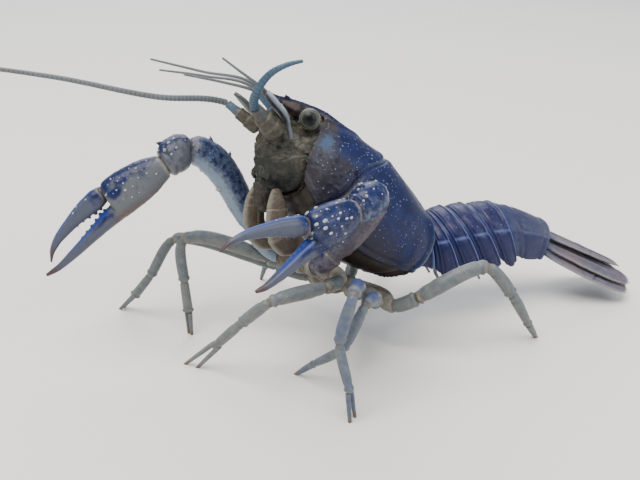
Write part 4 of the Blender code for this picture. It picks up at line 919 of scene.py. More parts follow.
def bristles(name, slot, roots, ways, shares, length, askew, seed, finish):
    """Bristles at roots in mm, each one's length scaled by its share."""
    seeds = plain_mesh(name, place(roots), [])
    stored = seeds.attributes.new("way", "FLOAT_VECTOR", "POINT")
    stored.data.foreach_set("vector", unit(ways).astype(np.float32).ravel())
    seeds.attributes.new("share", "FLOAT", "POINT").data.foreach_set("value", np.asarray(shares, np.float32))
    settings = {"Length": length * MM, "Thickness": BRISTLE_RADIUS * MM, "Askew": askew, "Seed": seed,
                "Finish": finish}
    return dress(grown(name, seeds, BRISTLE_HEM, settings), slot)


# Horny hairs, translucent grey-brown.
bristle_skin = knob_finish("grey_brown_bristle_keratin", "#8d8478", "#6d655c")
hem_roots, hem_ways, hem_shares = [], [], []
for edge, way, side in fan_edges:
    run = np.concatenate(([0.0], np.cumsum(np.linalg.norm(np.diff(edge, axis=0), axis=1))))
    spots = np.linspace(0.0, run[-1], 300)
    line = np.column_stack([np.interp(spots, run, edge[:, k]) for k in range(3)])
    along_edge = unit(np.gradient(line, axis=0))
    out = np.cross(along_edge, np.cross(way, side))
    out = out * np.sign(np.einsum("ij,ij->i", out, line - line.mean(0)))[:, None]
    hem_roots.append(line)
    hem_ways.append(out + 0.9 * way)
    hem_shares.append(0.45 + 0.55 * step(0.5, 1.0, np.abs(out @ way)))
bristles("fan_bristles", "tail_violet", np.vstack(hem_roots), np.vstack(hem_ways),
         np.concatenate(hem_shares), 1.5, 0.16, 7, bristle_skin)


# Underside of the thorax
# The breastplates between the legs and each limb's first joint: tan chitin, jointed by softer
# skin, that the limbs turn in.

SIDES = {"left": 1, "right": -1}
LIMB_BASES = {
    "cheliped": (18.5, 6.2, -16.2), "leg_1": (13.3, 7.6, -15.7), "leg_2": (8.8, 8.0, -15.4),
    "leg_3": (4.0, 8.2, -14.4), "leg_4": (-1.5, 7.7, -12.2)}
# A limb's first joint starts this far from the midline and this far above its base.
ROOT_OUT, ROOT_RISE = 2.4, 1.6
# Links of each limb (length, azimuth, elevation): ischium with merus, carpus, propodus, dactyl.
LEG_LINKS = {
    ("leg_1", "left"): [(15.5, -142, 1), (7.9, 157, -42), (8.9, 154, -46), (8.4, 151, -45)],
    ("leg_2", "left"): [(19.0, -94, 25), (8.8, -152, -73), (8.7, -45, -74), (5.7, 9, -84)],
    ("leg_3", "left"): [(16.4, -100, 24), (9.4, 180, -65), (9.1, 142, -41), (5.8, 134, -42)],
    ("leg_4", "left"): [(19.5, -2, 26), (8.3, 8, -47), (8.9, 17, -58), (5.2, 40, -51)],
    ("leg_1", "right"): [(23.1, -178, 15), (8.7, -113, -83), (6.9, 0, -87), (5.4, 90, -87)],
    ("leg_2", "right"): [(29.2, 174, 14), (10.5, 172, -55), (7.4, 158, -50), (6.9, 144, -43)],
    ("leg_3", "right"): [(15.5, 127, 30), (8.3, 132, -52), (8.6, 122, -46), (4.9, 118, -58)],
    ("leg_4", "right"): [(18.5, 75, 14), (8.0, 62, -34), (9.0, 55, -28), (5.0, 50, -28)]}
CLAW_LINKS = {
    "left": [(18.3, -20.7, 52.8), (6.8, -123.7, -2.3), (25.2, -146.6, -15.2)],
    "right": [(27.3, 169.7, 49.9), (6.2, -138.5, -21), (32.7, -161.2, -30.3)]}
CLAW_SIZE = {"left": 0.92, "right": 1.0}
# The breastplates' rows: u, half width, top, bottom.
STERNUM = [
    (-2.6, 4.6, -9.2, -12.4), (0.0, 5.4, -9.6, -13.2), (4.0, 5.6, -11.2, -14.6), (9.0, 5.2, -12.4, -15.8),
    (14.0, 4.4, -12.9, -16.0), (19.0, 3.2, -12.9, -15.2), (23.0, 2.6, -12.3, -13.8),
    (26.0, 2.2, -11.6, -12.8)]
# A limb's first joint: its rows for a radius of 1, and each limb's radius.
STUB = [(0.0, 0.9, 0.9), (0.5, 1.15, 1.15), (0.82, 1.02, 1.02), (1.0, 0.93, 0.93)]
STUB_RADIUS = {"cheliped": 2.1, "leg_1": 1.45, "leg_2": 1.5, "leg_3": 1.45, "leg_4": 1.5}
# The outer jaw limb's joints, where it is rooted and its first joint's rows.
MAXILLIPED = [(22.6, 3.2, -16.0), (27.7, 4.2, -15.6), (31.0, 4.2, -12.2), (32.9, 3.6, -9.6)]
MAXILLIPED_ROOT, MAXILLIPED_STUB = (20.0, 1.7, -14.4), [(0.0, 1.3, 1.3), (1.0, 1.2, 1.2)]


def mirrored(point, sign):
    """A point of the thorax, on its left side or, with sign -1, on its right."""
    u, v, w = point
    return thorax((u, v * sign, w))


def chain(base, links):
    """Joint points of a limb from its base and its links of (length, azimuth, elevation)."""
    points = [np.asarray(base, float)]
    for length, azimuth, elevation in links:
        points.append(points[-1] + length * heading(azimuth, elevation))
    return points


def scaled(table, size):
    """Rows of (station, half width, half height) for a limb of that size."""
    return [(t, a * size, b * size) for t, a, b in table]


def root_way(limb_name, side, link):
    """The way a limb leaves the thorax: between straight out and its first link."""
    u, v, w = LIMB_BASES[limb_name]
    out = unit(mirrored((u, v, w), SIDES[side]) - mirrored((u, ROOT_OUT, w + ROOT_RISE), SIDES[side]))
    return unit(link + 0.9 * out)


def oval(count, half_width, half_height, square=1.0):
    """Points (side, up) round an oval section; square under 1 makes its corners fuller."""
    angle = 2 * np.pi * (np.arange(count) + 0.5) / count
    side, up = np.cos(angle), np.sin(angle)
    side = half_width * np.sign(side) * np.abs(side) ** square
    up = half_height * np.sign(up) * np.abs(up) ** square
    return np.column_stack((side, up))


def upright_skin(table, rows, count, square):
    """A skin of upright oval sections from rows of (u, half width, top, bottom)."""
    stations = np.linspace(table[0][0], table[-1][0], rows)
    rings = []
    for u, half, top, low in zip(stations, *smooth(table, stations)):
        section = oval(count, half, (top - low) / 2, square)
        rings.append(thorax([(u, v, (top + low) / 2 + w) for v, w in section]))
    return skin(rings)


skins = [upright_skin(STERNUM, 50, 48, 0.7)]
for limb_name, base in LIMB_BASES.items():
    u, _, w = base
    for side, sign in SIDES.items():
        links = CLAW_LINKS[side] if limb_name == "cheliped" else LEG_LINKS[limb_name, side]
        end = mirrored(base, sign)
        way = root_way(limb_name, side, heading(*links[0][1:]))
        root = mirrored((u, ROOT_OUT, w + ROOT_RISE), sign)
        r = STUB_RADIUS[limb_name] * (CLAW_SIZE[side] if limb_name == "cheliped" else 1.0)
        rings, _, _ = limb([root, end - way * GAP / 2], [unit(end - root), way], THORAX_AXES[0],
                           scaled(STUB, r), 24, 28, ends=(0.5, 0.2),
                           detail=lambda s, q: 0.10 * hump(s, 0.92, 0.05) - 0.14 * hump(s, 0.8, 0.05))
        skins.append(skin(rings))
for sign in SIDES.values():
    ends = [mirrored(p, sign) for p in MAXILLIPED[:2]]
    way = unit(ends[1] - ends[0])
    root = mirrored(MAXILLIPED_ROOT, sign)
    stop = ends[0] - way * GAP / 2
    rings, _, _ = limb([root, stop], [unit(stop - root), way], THORAX_AXES[1], MAXILLIPED_STUB, 16, 24,
                       ends=(0.5, 0.2))
    skins.append(skin(rings))
points, faces, normals = sculpt(skins, 0.26, 3)
u, v, w = ((points - THORAX_AT) @ THORAX_AXES.T).T
plate_line = 0.0
for limb_name, base in LIMB_BASES.items():
    plate_line = plate_line + hump(u, base[0] + 2.3, 0.35)
carve = -0.22 * plate_line * step(5.0, 4.0, np.abs(v)) - 0.2 * hump(v, 0.0, 0.4)
points = points + normals * (carve + 0.05 * wander(points, 1.4, 5))[:, None]
from_root = np.abs(v) - 4.6
masks = {"pale": step(0.0, 1.6, from_root) * 0.9, "line": 0.7 * plate_line * step(5.0, 4.0, np.abs(v))}
# Tan chitin with cream skin between the plates, never polished by wear.
breast_shell = shell_finish("tan_breastplate_chitin", "#5d5347", "#4b4239",
                            [("pale", "#7d7c74", 1.2), ("line", "#857866", 0.6)],
                            mottle=1.2, rough=0.50, coat=0.0, flesh=0.06)
dress(piece("breastplates", points, faces, breast_shell, masks), "belly_tan", "thorax_underside")


# Walking legs
# Four pairs, each of ischium, merus, carpus, propodus and dactyl: thin hollow tubes of chitin with
# a flared rim at each far end and a ring of soft skin in the joint; the first two pairs end in
# small pincers.

LEG_RADIUS = {"leg_1": 1.50, "leg_2": 1.45, "leg_3": 1.40, "leg_4": 1.70}
# Rows for a radius of 1: ischium and merus, then carpus and propodus, and how each kind ends.
LEG_UPPER = [(0.0, 0.80, 0.85), (0.24, 0.86, 0.92), (0.3, 0.80, 0.88), (0.5, 0.88, 1.0), (0.85, 0.78, 0.92),
             (1.0, 0.68, 0.78)]
LEG_LOWER = [(0.0, 0.62, 0.66), (0.5, 0.70, 0.78), (0.85, 0.70, 0.76), (1.0, 0.58, 0.62), (1.3, 0.60, 0.66)]
PLAIN_END, PINCER_END = (2.0, 0.42, 0.46), (2.0, 0.52, 0.72)
# How blue and how tan each leg is; the right ones are all a little blue.
LEG_TINTS = {"leg_1": (0.2, 0.5), "leg_2": (0.95, 0.0), "leg_3": (0.85, 0.1), "leg_4": (0.2, 0.3)}
RIGHT_BLUE = 0.3
# Share of a link over which a leg bends; a small one gives straight links and sharp knees.
LEG_REACH = 0.22
PINCER_LEGS = ("leg_1", "leg_2")
PINCER_SPREAD = {"left": 0.9, "right": 0.5}
# The leg whose pincer gapes along the leg, and how far each tip lies from its middle.
GAPING_LEG, GAPE = ("leg_1", "left"), 1.41
LEG_LAYERS = [("blue", "#3d4972", 1.6), ("tan", "#80766a", 1.4), ("rim", "#73746f", 0.6),
              ("tip", "#6b5648", 0.6)]
# Thin chitin over pale muscle: grey, faintly green, and translucent enough to look lit within.
leg_shell = shell_finish("pale_leg_chitin", "#6a706f", "#585f63", LEG_LAYERS, mottle=1.3,
                         specks=("#949a98", 0.8, 0.13), rough=0.40, coat=0.08, flesh=0.16)
# Soft uncalcified skin of the joints: cream, moist and finely wrinkled.
joint_skin = shell_finish("cream_joint_membrane", "#736b61", "#5d564d", mottle=0.7, pits=0.5, rough=0.42,
                          flesh=0.20)


def trimmed(points, ways, first=True, last=True):
    """Joint points drawn in by half the joint gap at the ends that meet another piece."""
    moved = [np.array(p) for p in points]
    if first:
        moved[0] = moved[0] + ways[0] * GAP / 2
    if last:
        moved[-1] = moved[-1] - ways[-1] * GAP / 2
    return moved


def jointed(begin, end, r):
    """The relief of one limb tube: a neck behind its near joint and a flared rim at its far one."""
    def relief(s, q):
        t = (s - begin) / (end - begin)
        neck = -0.16 * step(0.14, 0.0, t) - 0.05 * hump(t, 0.2, 0.05)
        flare = 0.10 * hump(t, 0.94, 0.045) - 0.07 * hump(t, 0.85, 0.04) - 0.06 * step(0.97, 1.0, t)
        ridge = 0.035 * np.cos(2 * q + 0.6) * step(0.15, 0.4, t) * step(0.9, 0.7, t)
        return r * (neck + flare + ridge)
    return relief


def ball(centre, way, radius, length):
    """A soft bulge."""
    way = unit(way)
    side = unit(np.cross(way, (0.31, 0.53, 0.79)))
    up = np.cross(way, side)
    rings = []
    for a in np.radians(np.linspace(-80, 80, 15)):
        section = oval(20, radius * math.cos(a) * (1 + 0.05 * math.sin(9 * a)), radius * math.cos(a))
        rings.append(centre + way * length * math.sin(a) + section[:, :1] * side + section[:, 1:] * up)
    return skin(rings)


def knee(joints, ways, station, radius, length):
    """The soft skin in a joint at a station of a limb."""
    centre, way = path(joints, ways, [station])
    return ball(centre[0], way[0], radius, length)


def leg_piece(name, joints, ways, hint, table, rows, span, r, blue, tan, nodes=()):
    """One joint of a walking leg, of radius r, with its share of blue and of tan."""
    rings, s, _ = limb(joints, ways, hint, table, rows, 32, span=span, detail=jointed(*span, r),
                       ends=(0.4, 0.25), reach=LEG_REACH)
    t = (s - span[0]) / (span[1] - span[0])
    above = np.clip((rings[..., 2] - rings[..., 2].mean(axis=1, keepdims=True)) / r, -1, 1)
    masks = ring_masks(
        rings, blue=blue * (0.4 + 0.6 * step(-0.4, 0.6, above)) * (0.6 + 0.4 * hump(t, 0.75, 0.35)),
        tan=tan * step(0.4, -0.5, above), rim=0.7 * hump(t, 0.97, 0.04), speck=0.8)
    dress(piece(name, *skin(rings), leg_shell, masks), "leg_grey", *nodes)


def toe(start, end, hint, root_radius, end_radius, face):
    """Rings of a last joint that tapers from start and is cut flat on the floor."""
    way = unit(end - start)
    table = [(0.0, root_radius, root_radius * 1.1), (0.4, root_radius * 0.9, root_radius),
             (1.0, end_radius, end_radius)]
    return limb([start, end], [way, way], hint, table, 30, 20, ends=(0, 0), face=face, floor=True)


for leg, r in LEG_RADIUS.items():
    for side, sign in SIDES.items():
        points = chain(mirrored(LIMB_BASES[leg], sign), LEG_LINKS[leg, side])
        last_link = points[-1] - points[-2]
        points[-1] = points[-2] - last_link * (points[-2][2] / last_link[2])
        ways = joint_ways(points)
        ways[0] = root_way(leg, side, ways[0])
        hint = np.cross(points[1] - points[0], points[3] - points[1])
        name = f"{leg}_{side}"
        blue, tan = LEG_TINTS[leg]
        if side == "right":
            blue = RIGHT_BLUE
        # ischium and merus
        upper = trimmed(points[:2], ways[:2])
        table = scaled(LEG_UPPER, r)
        leg_piece(f"{name}_ischium", upper, ways[:2], hint, table, 18, (0.0, 0.27), r, blue * 0.5, tan)
        leg_piece(f"{name}_merus", upper, ways[:2], hint, table, 44, (0.29, 1.0), r, blue, tan,
                  [f"{leg}_upper_{side}"])
        # carpus and propodus, with the fixed finger on the legs that end in a small pincer
        pincer = leg in PINCER_LEGS
        middle, middle_ways = trimmed(points[1:4], ways[1:4]), ways[1:4]
        table = scaled(LEG_LOWER + [PINCER_END if pincer else PLAIN_END], r)
        leg_piece(f"{name}_carpus", middle, middle_ways, hint, table, 30, (0.0, 0.97), r, blue, tan)
        leg_piece(f"{name}_propodus", middle, middle_ways, hint, table, 36, (1.0, 2.0), r, blue * 0.7, tan,
                  [f"{leg}_lower_{side}"])
        way = ways[3]
        across = unit(np.cross(way, (0.0, 0.0, 1.0)))
        start, end = points[3] + way * GAP / 2, points[4]
        toe_radius, tip_radius = 0.42 * r, 0.25 * r
        toes = []
        if pincer:
            toe_radius, tip_radius = 0.31 * r, 0.22 * r
            offset, spread = across * 0.38 * r, across * PINCER_SPREAD[side]
            if (leg, side) == GAPING_LEG:
                offset, spread = unit(np.cross(across, way)) * 0.38 * r, unit(way * (1, 1, 0)) * GAPE
            fixed = toe(points[3] - way * 0.9 - offset, end - spread, across, toe_radius, tip_radius, way)
            toes.append((f"{name}_fixed_finger", fixed, ()))
            start, end = start + offset, end + spread
        toes.append((f"{name}_dactyl", toe(start, end, across, toe_radius, tip_radius, way),
                     [f"{leg}_toe_{side}"]))
        for toe_name, (rings, s, _), nodes in toes:
            masks = ring_masks(rings, tan=0.5 * tan, tip=step(0.7, 0.95, s), rim=0.7 * step(0.08, 0.0, s),
                               blue=0.6 * blue)
            dress(piece(toe_name, *skin(rings), leg_shell, masks), "leg_grey", *nodes)
        knees = [ball(points[0], ways[0], 0.74 * r, 0.8), ball(points[1], ways[1], 0.60 * r, 0.9),
                 knee(middle, middle_ways, 0.985, 0.56 * r, 0.7), knee(upper, ways[:2], 0.28, 0.78 * r, 0.6)]
        dress(piece(f"{name}_joints", *join(knees), joint_skin), "leg_grey")


# Claws
# The great claws: arm, wrist and a swollen hand that ends in two fingers, all of thick calcified
# chitin set with blunt tubercles; the upper finger turns on a hinge in a pad of cream skin.

PALM_END = 9.6
CLAW_UP = {"left": (0.10, 0.15, 1.0), "right": (-0.72, -0.10, 0.70)}
# From here the palm is rounded off over this length, where the finger's hinge begins.
ROUND_FROM, ROUND_OVER = 8.6, 1.35
# Hand rows: distance from the wrist, lateral edge, mesial edge, half thickness.
PALM = [(0.0, -2.3, 2.3, 2.0), (1.5, -2.9, 3.1, 2.4), (4.0, -3.6, 3.8, 2.8), (7.0, -3.9, 4.1, 2.9),
        (9.0, -4.0, 3.9, 2.7), (PALM_END, -4.0, 3.5, 2.4)]
FIXED_FINGER = [(5.0, -3.2, 0.2, 1.9), (7.5, -3.8, -0.2, 2.1), (PALM_END + 0.15, -4.0, -0.4, 2.0),
                (13.0, -4.2, -1.1, 1.7), (17.0, -4.6, -2.2, 1.4), (21.5, -5.1, -3.3, 1.1),
                (25.2, -5.3, -4.1, 0.75), (27.8, -4.9, -4.3, 0.35)]
PALM_REACH = {"left": 1.0, "right": 1.25}
FIXED_REACH = {"left": 0.72, "right": 0.97}
# Finger rows: distance from its hinge, mesial edge, biting edge, half thickness.
FINGER = [
    (0.0, 1.5, -1.7, 1.5), (1.5, 1.9, -1.9, 1.6), (4.0, 1.9, -1.5, 1.45), (7.5, 1.5, -1.0, 1.2),
    (11.0, 0.9, -0.9, 0.9), (13.6, -0.1, -1.3, 0.6), (15.6, -1.9, -2.3, 0.3)]
FINGER_REACH = {"left": 1.05, "right": 1.02}
FINGER_OPEN = {"left": 17.6, "right": -11.7}
HINGE_RISE = 2.2
# Biting knobs: distance from the hinge line, radius.
FIXED_TEETH = [(11.4, 0.42), (12.5, 0.55), (13.8, 0.42), (15.2, 0.34), (16.6, 0.30), (18.0, 0.26)]
FINGER_TEETH = [(2.2, 0.40), (3.4, 0.52), (4.7, 0.40), (6.0, 0.30), (7.3, 0.26)]
CLAW_LAYERS = [
    ("soft", "#748496", 1.6), ("olive", "#5a5e63", 1.6), ("rust", "#55443f", 1.3), ("lilac", "#474c5b", 1.2),
    ("bright", "#2b4590", 0.9), ("rim", "#a39a88", 0.6), ("tip", "#45363b", 0.8)]
# Thick blue-pigmented chitin, wet: the hardest and glossiest of the shell.
claw_shell = shell_finish("blue_claw_chitin", "#162452", "#10183b", CLAW_LAYERS, mottle=1.5,
                          specks=("#7a88ad", 0.85, 0.15), rough=0.36, coat=0.12)


def claw_tube(name, joints, ways, hint, table, rows, span, size, tints, side_axis, knob_side, spines,
              nodes=()):
    """A joint of the arm with its spines and knobs; tints are its soft grey, olive, rust and rim."""
    rings, _, _ = limb(joints, ways, hint, table, rows, 48, span=span, detail=jointed(*span, 2.4 * size),
                       ends=(0.4, 0.25))
    points, faces, normals = sculpt([skin(rings)] + spines, 0.17, 2)
    samples = 40
    centres, turned = path(joints, ways, np.linspace(*span, samples))
    gap = points[:, None] - centres[None]
    nearest = np.argmin((gap**2).sum(-1), axis=1)
    t = nearest / (samples - 1.0)
    inner = ((points - centres[nearest]) @ side_axis) / (2.6 * size)
    relief = 0.06 * np.clip(wander(points, 0.8, 9) * 1.8, 0, 1)
    soft, olive, rust, rim = tints
    sharp = np.zeros(len(points))
    for body, _ in spines:
        sharp = np.maximum(sharp, step(0.9, 0.35, np.linalg.norm(points - body[-1], axis=1)))
    points = points + normals * relief[:, None]
    masks = {
        "soft": soft * (0.25 + 0.75 * step(0.7, -0.5, inner)),
        "olive": olive * step(1.3, 0.2, inner + 0.6 * wander(points, 1.8, 52)),
        "rust": rust * (0.4 + 0.6 * step(0.5, -0.5, inner)),
        "rim": np.maximum(rim * hump(t, 0.985, 0.035), 1.2 * sharp),
        "speck": np.ones(len(points)),
        "knob": step(0.0, 0.5, inner * knob_side) * step(0.1, 0.2, t) * step(0.97, 0.9, t)}
    item = dress(piece(name, points, faces, claw_shell, masks), "claw_blue", *nodes)
    knobs(name + "_knobs", item, "claw_blue", cream_knob, *ARM_KNOBS, turned[samples // 2], 13)


def claw_rings(origin, axes, reach, middle, half, thick, count, square):
    """Rings of oval sections at each reach along a claw; axes are along, mesial and across."""
    along, mesial, across = axes
    rings = []
    for ahead, rise, width, depth in zip(reach, middle, half, thick):
        section = oval(count, width, depth, square)
        rings.append(origin + along * ahead + (rise + section[:, :1]) * mesial + section[:, 1:] * across)
    return rings


# Which side of each arm is up, and how soft grey, olive, brown and pale-rimmed each joint is.
ARM_UP = {"left": np.array((0.10, 0.15, 1.0)), "right": np.array((0.77, -0.20, 0.60))}
ARM_TINTS = {"left": (0.0, 0.5, 0.6, 1.0), "right": (1.3, 0.0, 0.0, 0.4)}
WRIST_TINTS = {"left": (0.35, 0.0, 0.0, 0.25), "right": (0.3, 0.85, 0.2, 0.3)}
KNOB_SIDE = {"left": 1, "right": -1}
# Rows for a left or right claw of size 1: ischium and merus, the arm, then carpus, the wrist.
ARM = [(0.0, 1.9, 1.9), (0.22, 2.2, 2.2), (0.27, 2.0, 2.0), (0.45, 2.5, 2.7), (0.85, 2.9, 3.2),
       (1.0, 2.2, 2.4)]
WRIST = [(0.0, 2.1, 2.2), (0.25, 2.9, 3.2), (0.6, 3.2, 3.5), (0.88, 2.7, 2.9), (1.0, 2.0, 2.1)]
# Stations of the arm's spines; the wrist's are (station, turn, radius, length).
ARM_SPINES = (0.62, 0.76, 0.90)
WRIST_SPINES = [(0.62, 0.0, 0.55, 1.6), (0.42, 25.0, 0.42, 0.8), (0.78, -40.0, 0.42, 0.8)]
# Knobs: spacing, size, rise, length over width.
ARM_KNOBS, FINGER_KNOBS = (1.3, 0.20, 0.6, 1.2), (1.1, 0.18, 0.6, 1.3)
HAND_KNOBS = {"left": (0.98, 0.25, 0.6, 1.5), "right": (1.25, 0.19, 0.5, 1.2)}
# The right hand is greyer, with a brown lower edge; the left is deep blue.
HAND_OLIVE = {"left": 0.25, "right": 0.95}
HAND_RUST = {"left": 0.2, "right": 0.8}
# Worn tops of the claws' knobs: bare cream-white chitin.
cream_knob = knob_finish("cream_claw_knob_chitin", "#abadac", "#858b98")
# The soft skin in the claws' joints, stained dark.
claw_skin = shell_finish("brown_claw_joint_skin", "#4f473f", "#3c3733", mottle=0.5, rough=0.5, coat=0.03,
                         flesh=0.08)
for side, sign in SIDES.items():
    size = CLAW_SIZE[side]
    joints = chain(mirrored(LIMB_BASES["cheliped"], sign), CLAW_LINKS[side])
    along = unit(joints[3] - joints[2])
    up = np.array(CLAW_UP[side])
    mesial = unit(up - np.dot(up, along) * along)
    across = np.cross(along, mesial)
    ways = joint_ways(joints)
    ways[0] = root_way("cheliped", side, ways[0])
    # ischium and merus, the arm
    table = scaled(ARM, size)
    arm = trimmed(joints[:2], ways[:2])
    claw_tube(f"claw_{side}_ischium", arm, ways[:2], across, table, 24, (0.0, 0.25), size,
              ARM_TINTS[side][:3] + (0.1,), ARM_UP[side], KNOB_SIDE[side], [])
    spines = []
    for t in ARM_SPINES:
        centre, way = path(arm, ways[:2], [t])
        inner = unit(mesial - np.dot(mesial, way[0]) * way[0])
        spines.append(spine(centre[0] + inner * smooth(table, t)[1], inner + 0.8 * way[0], 0.42 * size,
                            1.1 * size, 0.6))
    claw_tube(f"claw_{side}_merus", arm, ways[:2], across, table, 60, (0.265, 1.0), size, ARM_TINTS[side],
              ARM_UP[side], KNOB_SIDE[side], spines, [f"cheliped_arm_{side}"])
    # carpus, the wrist
    table = scaled(WRIST, size)
    wrist = trimmed(joints[1:3], ways[1:3])
    spines = []
    for t, turn, radius, length in WRIST_SPINES:
        centre, way = path(wrist, ways[1:3], [t])
        inner = unit(mesial - np.dot(mesial, way[0]) * way[0])
        outer = np.cross(way[0], inner)
        a = math.radians(turn)
        out = inner * math.cos(a) + outer * math.sin(a)
        spines.append(spine(centre[0] + out * smooth(table, t).mean() * 0.97, out + 0.7 * way[0],
                            radius * size, length * size, 0.6))
    claw_tube(f"claw_{side}_carpus", wrist, ways[1:3], across, table, 40, (0.0, 1.0), size,
              WRIST_TINTS[side], mesial, 1, spines, [f"cheliped_wrist_{side}"])
    # hand with the fixed finger
    start = joints[2] + ways[2] * GAP / 2
    palm = PALM_REACH[side]
    axes = along, mesial, across
    x = np.linspace(0.0, PALM_END, 34)
    low, high, thick = smooth(PALM, x) * size
    full = np.sqrt(np.maximum(0.0, 1 - (np.maximum(0.0, x - ROUND_FROM) / ROUND_OVER) ** 2))
    rings = claw_rings(start, axes, x * palm * size, (low + high) / 2, (high - low) / 2 * (0.6 + 0.4 * full),
                       thick * (0.5 + 0.5 * full), 48, 0.92)
    rings[0] = onto_plane(rings[0], start, ways[2], along)
    skins = [skin(rings)]
    x = np.linspace(FIXED_FINGER[0][0], FIXED_FINGER[-1][0], 60)
    low, high, thick = smooth(FIXED_FINGER, x) * size
    reach = np.where(x < PALM_END, x * palm, PALM_END * palm + (x - PALM_END) * FIXED_REACH[side])
    rings = claw_rings(start, axes, reach * size, (low + high) / 2, (high - low) / 2, thick, 40, 0.95)
    skins.append(skin(rings))
    for x, radius in FIXED_TEETH:
        reach = PALM_END * palm + (x - PALM_END) * FIXED_REACH[side]
        at_tooth = start + along * reach * size + mesial * smooth(FIXED_FINGER, x)[1] * size
        skins.append(ball(at_tooth, mesial, radius * size * 0.8, radius * size))
    points, faces, normals = sculpt(skins, 0.15, 3)
    local = (points - start) / size
    x, y, z = local @ along, local @ mesial, local @ across
    beyond = x - PALM_END * palm
    x = np.where(beyond > 0, beyond + PALM_END, x / palm)
    far = np.where(beyond > 0, beyond / FIXED_REACH[side] + PALM_END, x)
    low, high, thick = smooth(FIXED_FINGER, far)
    grooves = -0.14 * hump(z, smooth([(9, 1.4), (27.8, 0.25)], far)[0], 0.22)
    grooves = grooves * step(9.5, 11.5, far) * step(26.5, 24, far)
    relief = 0.05 * np.clip(wander(points, 0.7, 11) * 1.8, 0, 1) * step(11, 8, far) + grooves
    points = points + normals * relief[:, None]
    finger_part = step(9.0, 12.0, far)
    deep = (y - low) / np.maximum(high - low, 0.5)
    masks = {
        "olive": HAND_OLIVE[side] * step(2.8, 0.6, y + 2.6 * wander(points, 2.2, 51)) * (1 - finger_part),
        "rust": np.maximum(HAND_RUST[side] * step(-1.2, -3.4, y), 1.1 * finger_part * step(0.72, 0.2, deep)),
        "lilac": finger_part * 0.95 * np.maximum(step(12.0, 17.0, far), step(0.8, 0.45, deep)),
        "bright": finger_part * step(0.6, 1.0, deep) * step(25, 18, far) * 0.8,
        "rim": 0.4 * step(0.5, 0.0, x), "tip": step(22.6, 27.0, far),
        "speck": np.ones(len(points)) * (1 - 0.5 * finger_part),
        "knob": step(-2.5, 0.5, y) * step(0.6, 1.2, x) * step(PALM_END + 1.0, PALM_END - 0.4, x)
                * np.clip(0.8 + wander(points, 2.0, 53), 0.0, 1.2)}
    hand = dress(piece(f"claw_{side}_hand", points, faces, claw_shell, masks), "claw_blue",
                 f"claw_hand_{side}")
    knobs(f"claw_{side}_hand_knobs", hand, "claw_blue", cream_knob, *HAND_KNOBS[side], along, 11)
    # movable finger
    turn = math.radians(FINGER_OPEN[side])
    hinge = start + (along * (PALM_END * palm + GAP) + mesial * HINGE_RISE) * size
    forward = along * math.cos(turn) + mesial * math.sin(turn)
    rise = mesial * math.cos(turn) - along * math.sin(turn)
    x = np.linspace(0.0, FINGER[-1][0], 60)
    high, low, thick = smooth(FINGER, x) * size
    rings = claw_rings(hinge, (forward, rise, across), x * size * FINGER_REACH[side], (low + high) / 2,
                       (high - low) / 2, thick, 40, 0.95)
    rings[0] = onto_plane(rings[0], hinge, along, forward)
    skins = [skin(rings)]
    for x, radius in FINGER_TEETH:
        at_tooth = hinge + forward * x * size * FINGER_REACH[side] + rise * smooth(FINGER, x)[1] * size
        skins.append(ball(at_tooth, rise, radius * size * 0.8, radius * size))
    points, faces, normals = sculpt(skins, 0.14, 3)
    local = (points - hinge) / size
    x, y, z = (local @ forward) / FINGER_REACH[side], local @ rise, local @ across
    high, low, thick = smooth(FINGER, x)
    reached = step(1.0, 2.5, x) * step(14.6, 12.5, x) * step(low - 0.2, high, y)
    grooves = -0.12 * hump(np.abs(z), smooth([(0, 1.0), (15.6, 0.2)], x)[0], 0.20) * reached
    points = points + normals * grooves[:, None]
    masks = {
        "lilac": step(0.4, 3.0, x) * 0.95 * step(-0.4, 0.5, y - low),
        "olive": 0.35 * step(5.0, 1.0, x) * step(1.0, 0.0, y),
        "bright": 0.6 * hump(y, high, 0.35) * step(14.5, 11, x),
        "rust": 0.6 * step(0.5, 0.1, (y - low) / np.maximum(high - low, 0.5)),
        "rim": 0.4 * step(0.5, 0.1, x), "tip": step(11.6, 15.2, x), "speck": 0.5 * step(9, 4, x),
        "knob": step(7.5, 5.0, x) * step(0.6, 1.1, x) * step(high - 0.9, high - 0.4, y)}
    finger = dress(piece(f"claw_{side}_finger", points, faces, claw_shell, masks), "finger_lavender",
                   f"claw_finger_{side}")
    knobs(f"claw_{side}_finger_knobs", finger, "finger_lavender", cream_knob, *FINGER_KNOBS, forward, 17)
    pads = [ball(joints[0], ways[0], 1.7 * size, 0.9), ball(joints[1], ways[1], 1.95 * size, 1.1),
            ball(joints[2], ways[2], 1.85 * size, 1.0), ball(hinge - along * 0.2, along, 1.35 * size, 0.8),
            knee(arm, ways[:2], 0.258, 1.9 * size, 0.7)]
    dress(piece(f"claw_{side}_joints", *join(pads), claw_skin), "claw_blue")


# Face and inner jaws
# The plate in front of the mouth, the upper lip and the jaws that meet below it: olive and
# umber chitin, roughened by warts and folds, with painted shade darkening it round the mouth and in its
# creases.

# Rows: u, half width, top, bottom; it steps down under the feelers to the upper lip.
HEAD_FRONT = [
    (29.9, 4.0, 3.2, -7.4), (30.6, 4.4, 3.4, -7.9), (32.8, 4.4, 3.3, -7.9), (34.2, 4.3, 3.0, -8.2),
    (35.4, 4.1, 2.6, -8.8), (36.6, 3.8, 2.0, -7.8), (38.0, 3.4, 1.1, -6.2), (39.1, 3.2, 0.2, -4.8)]
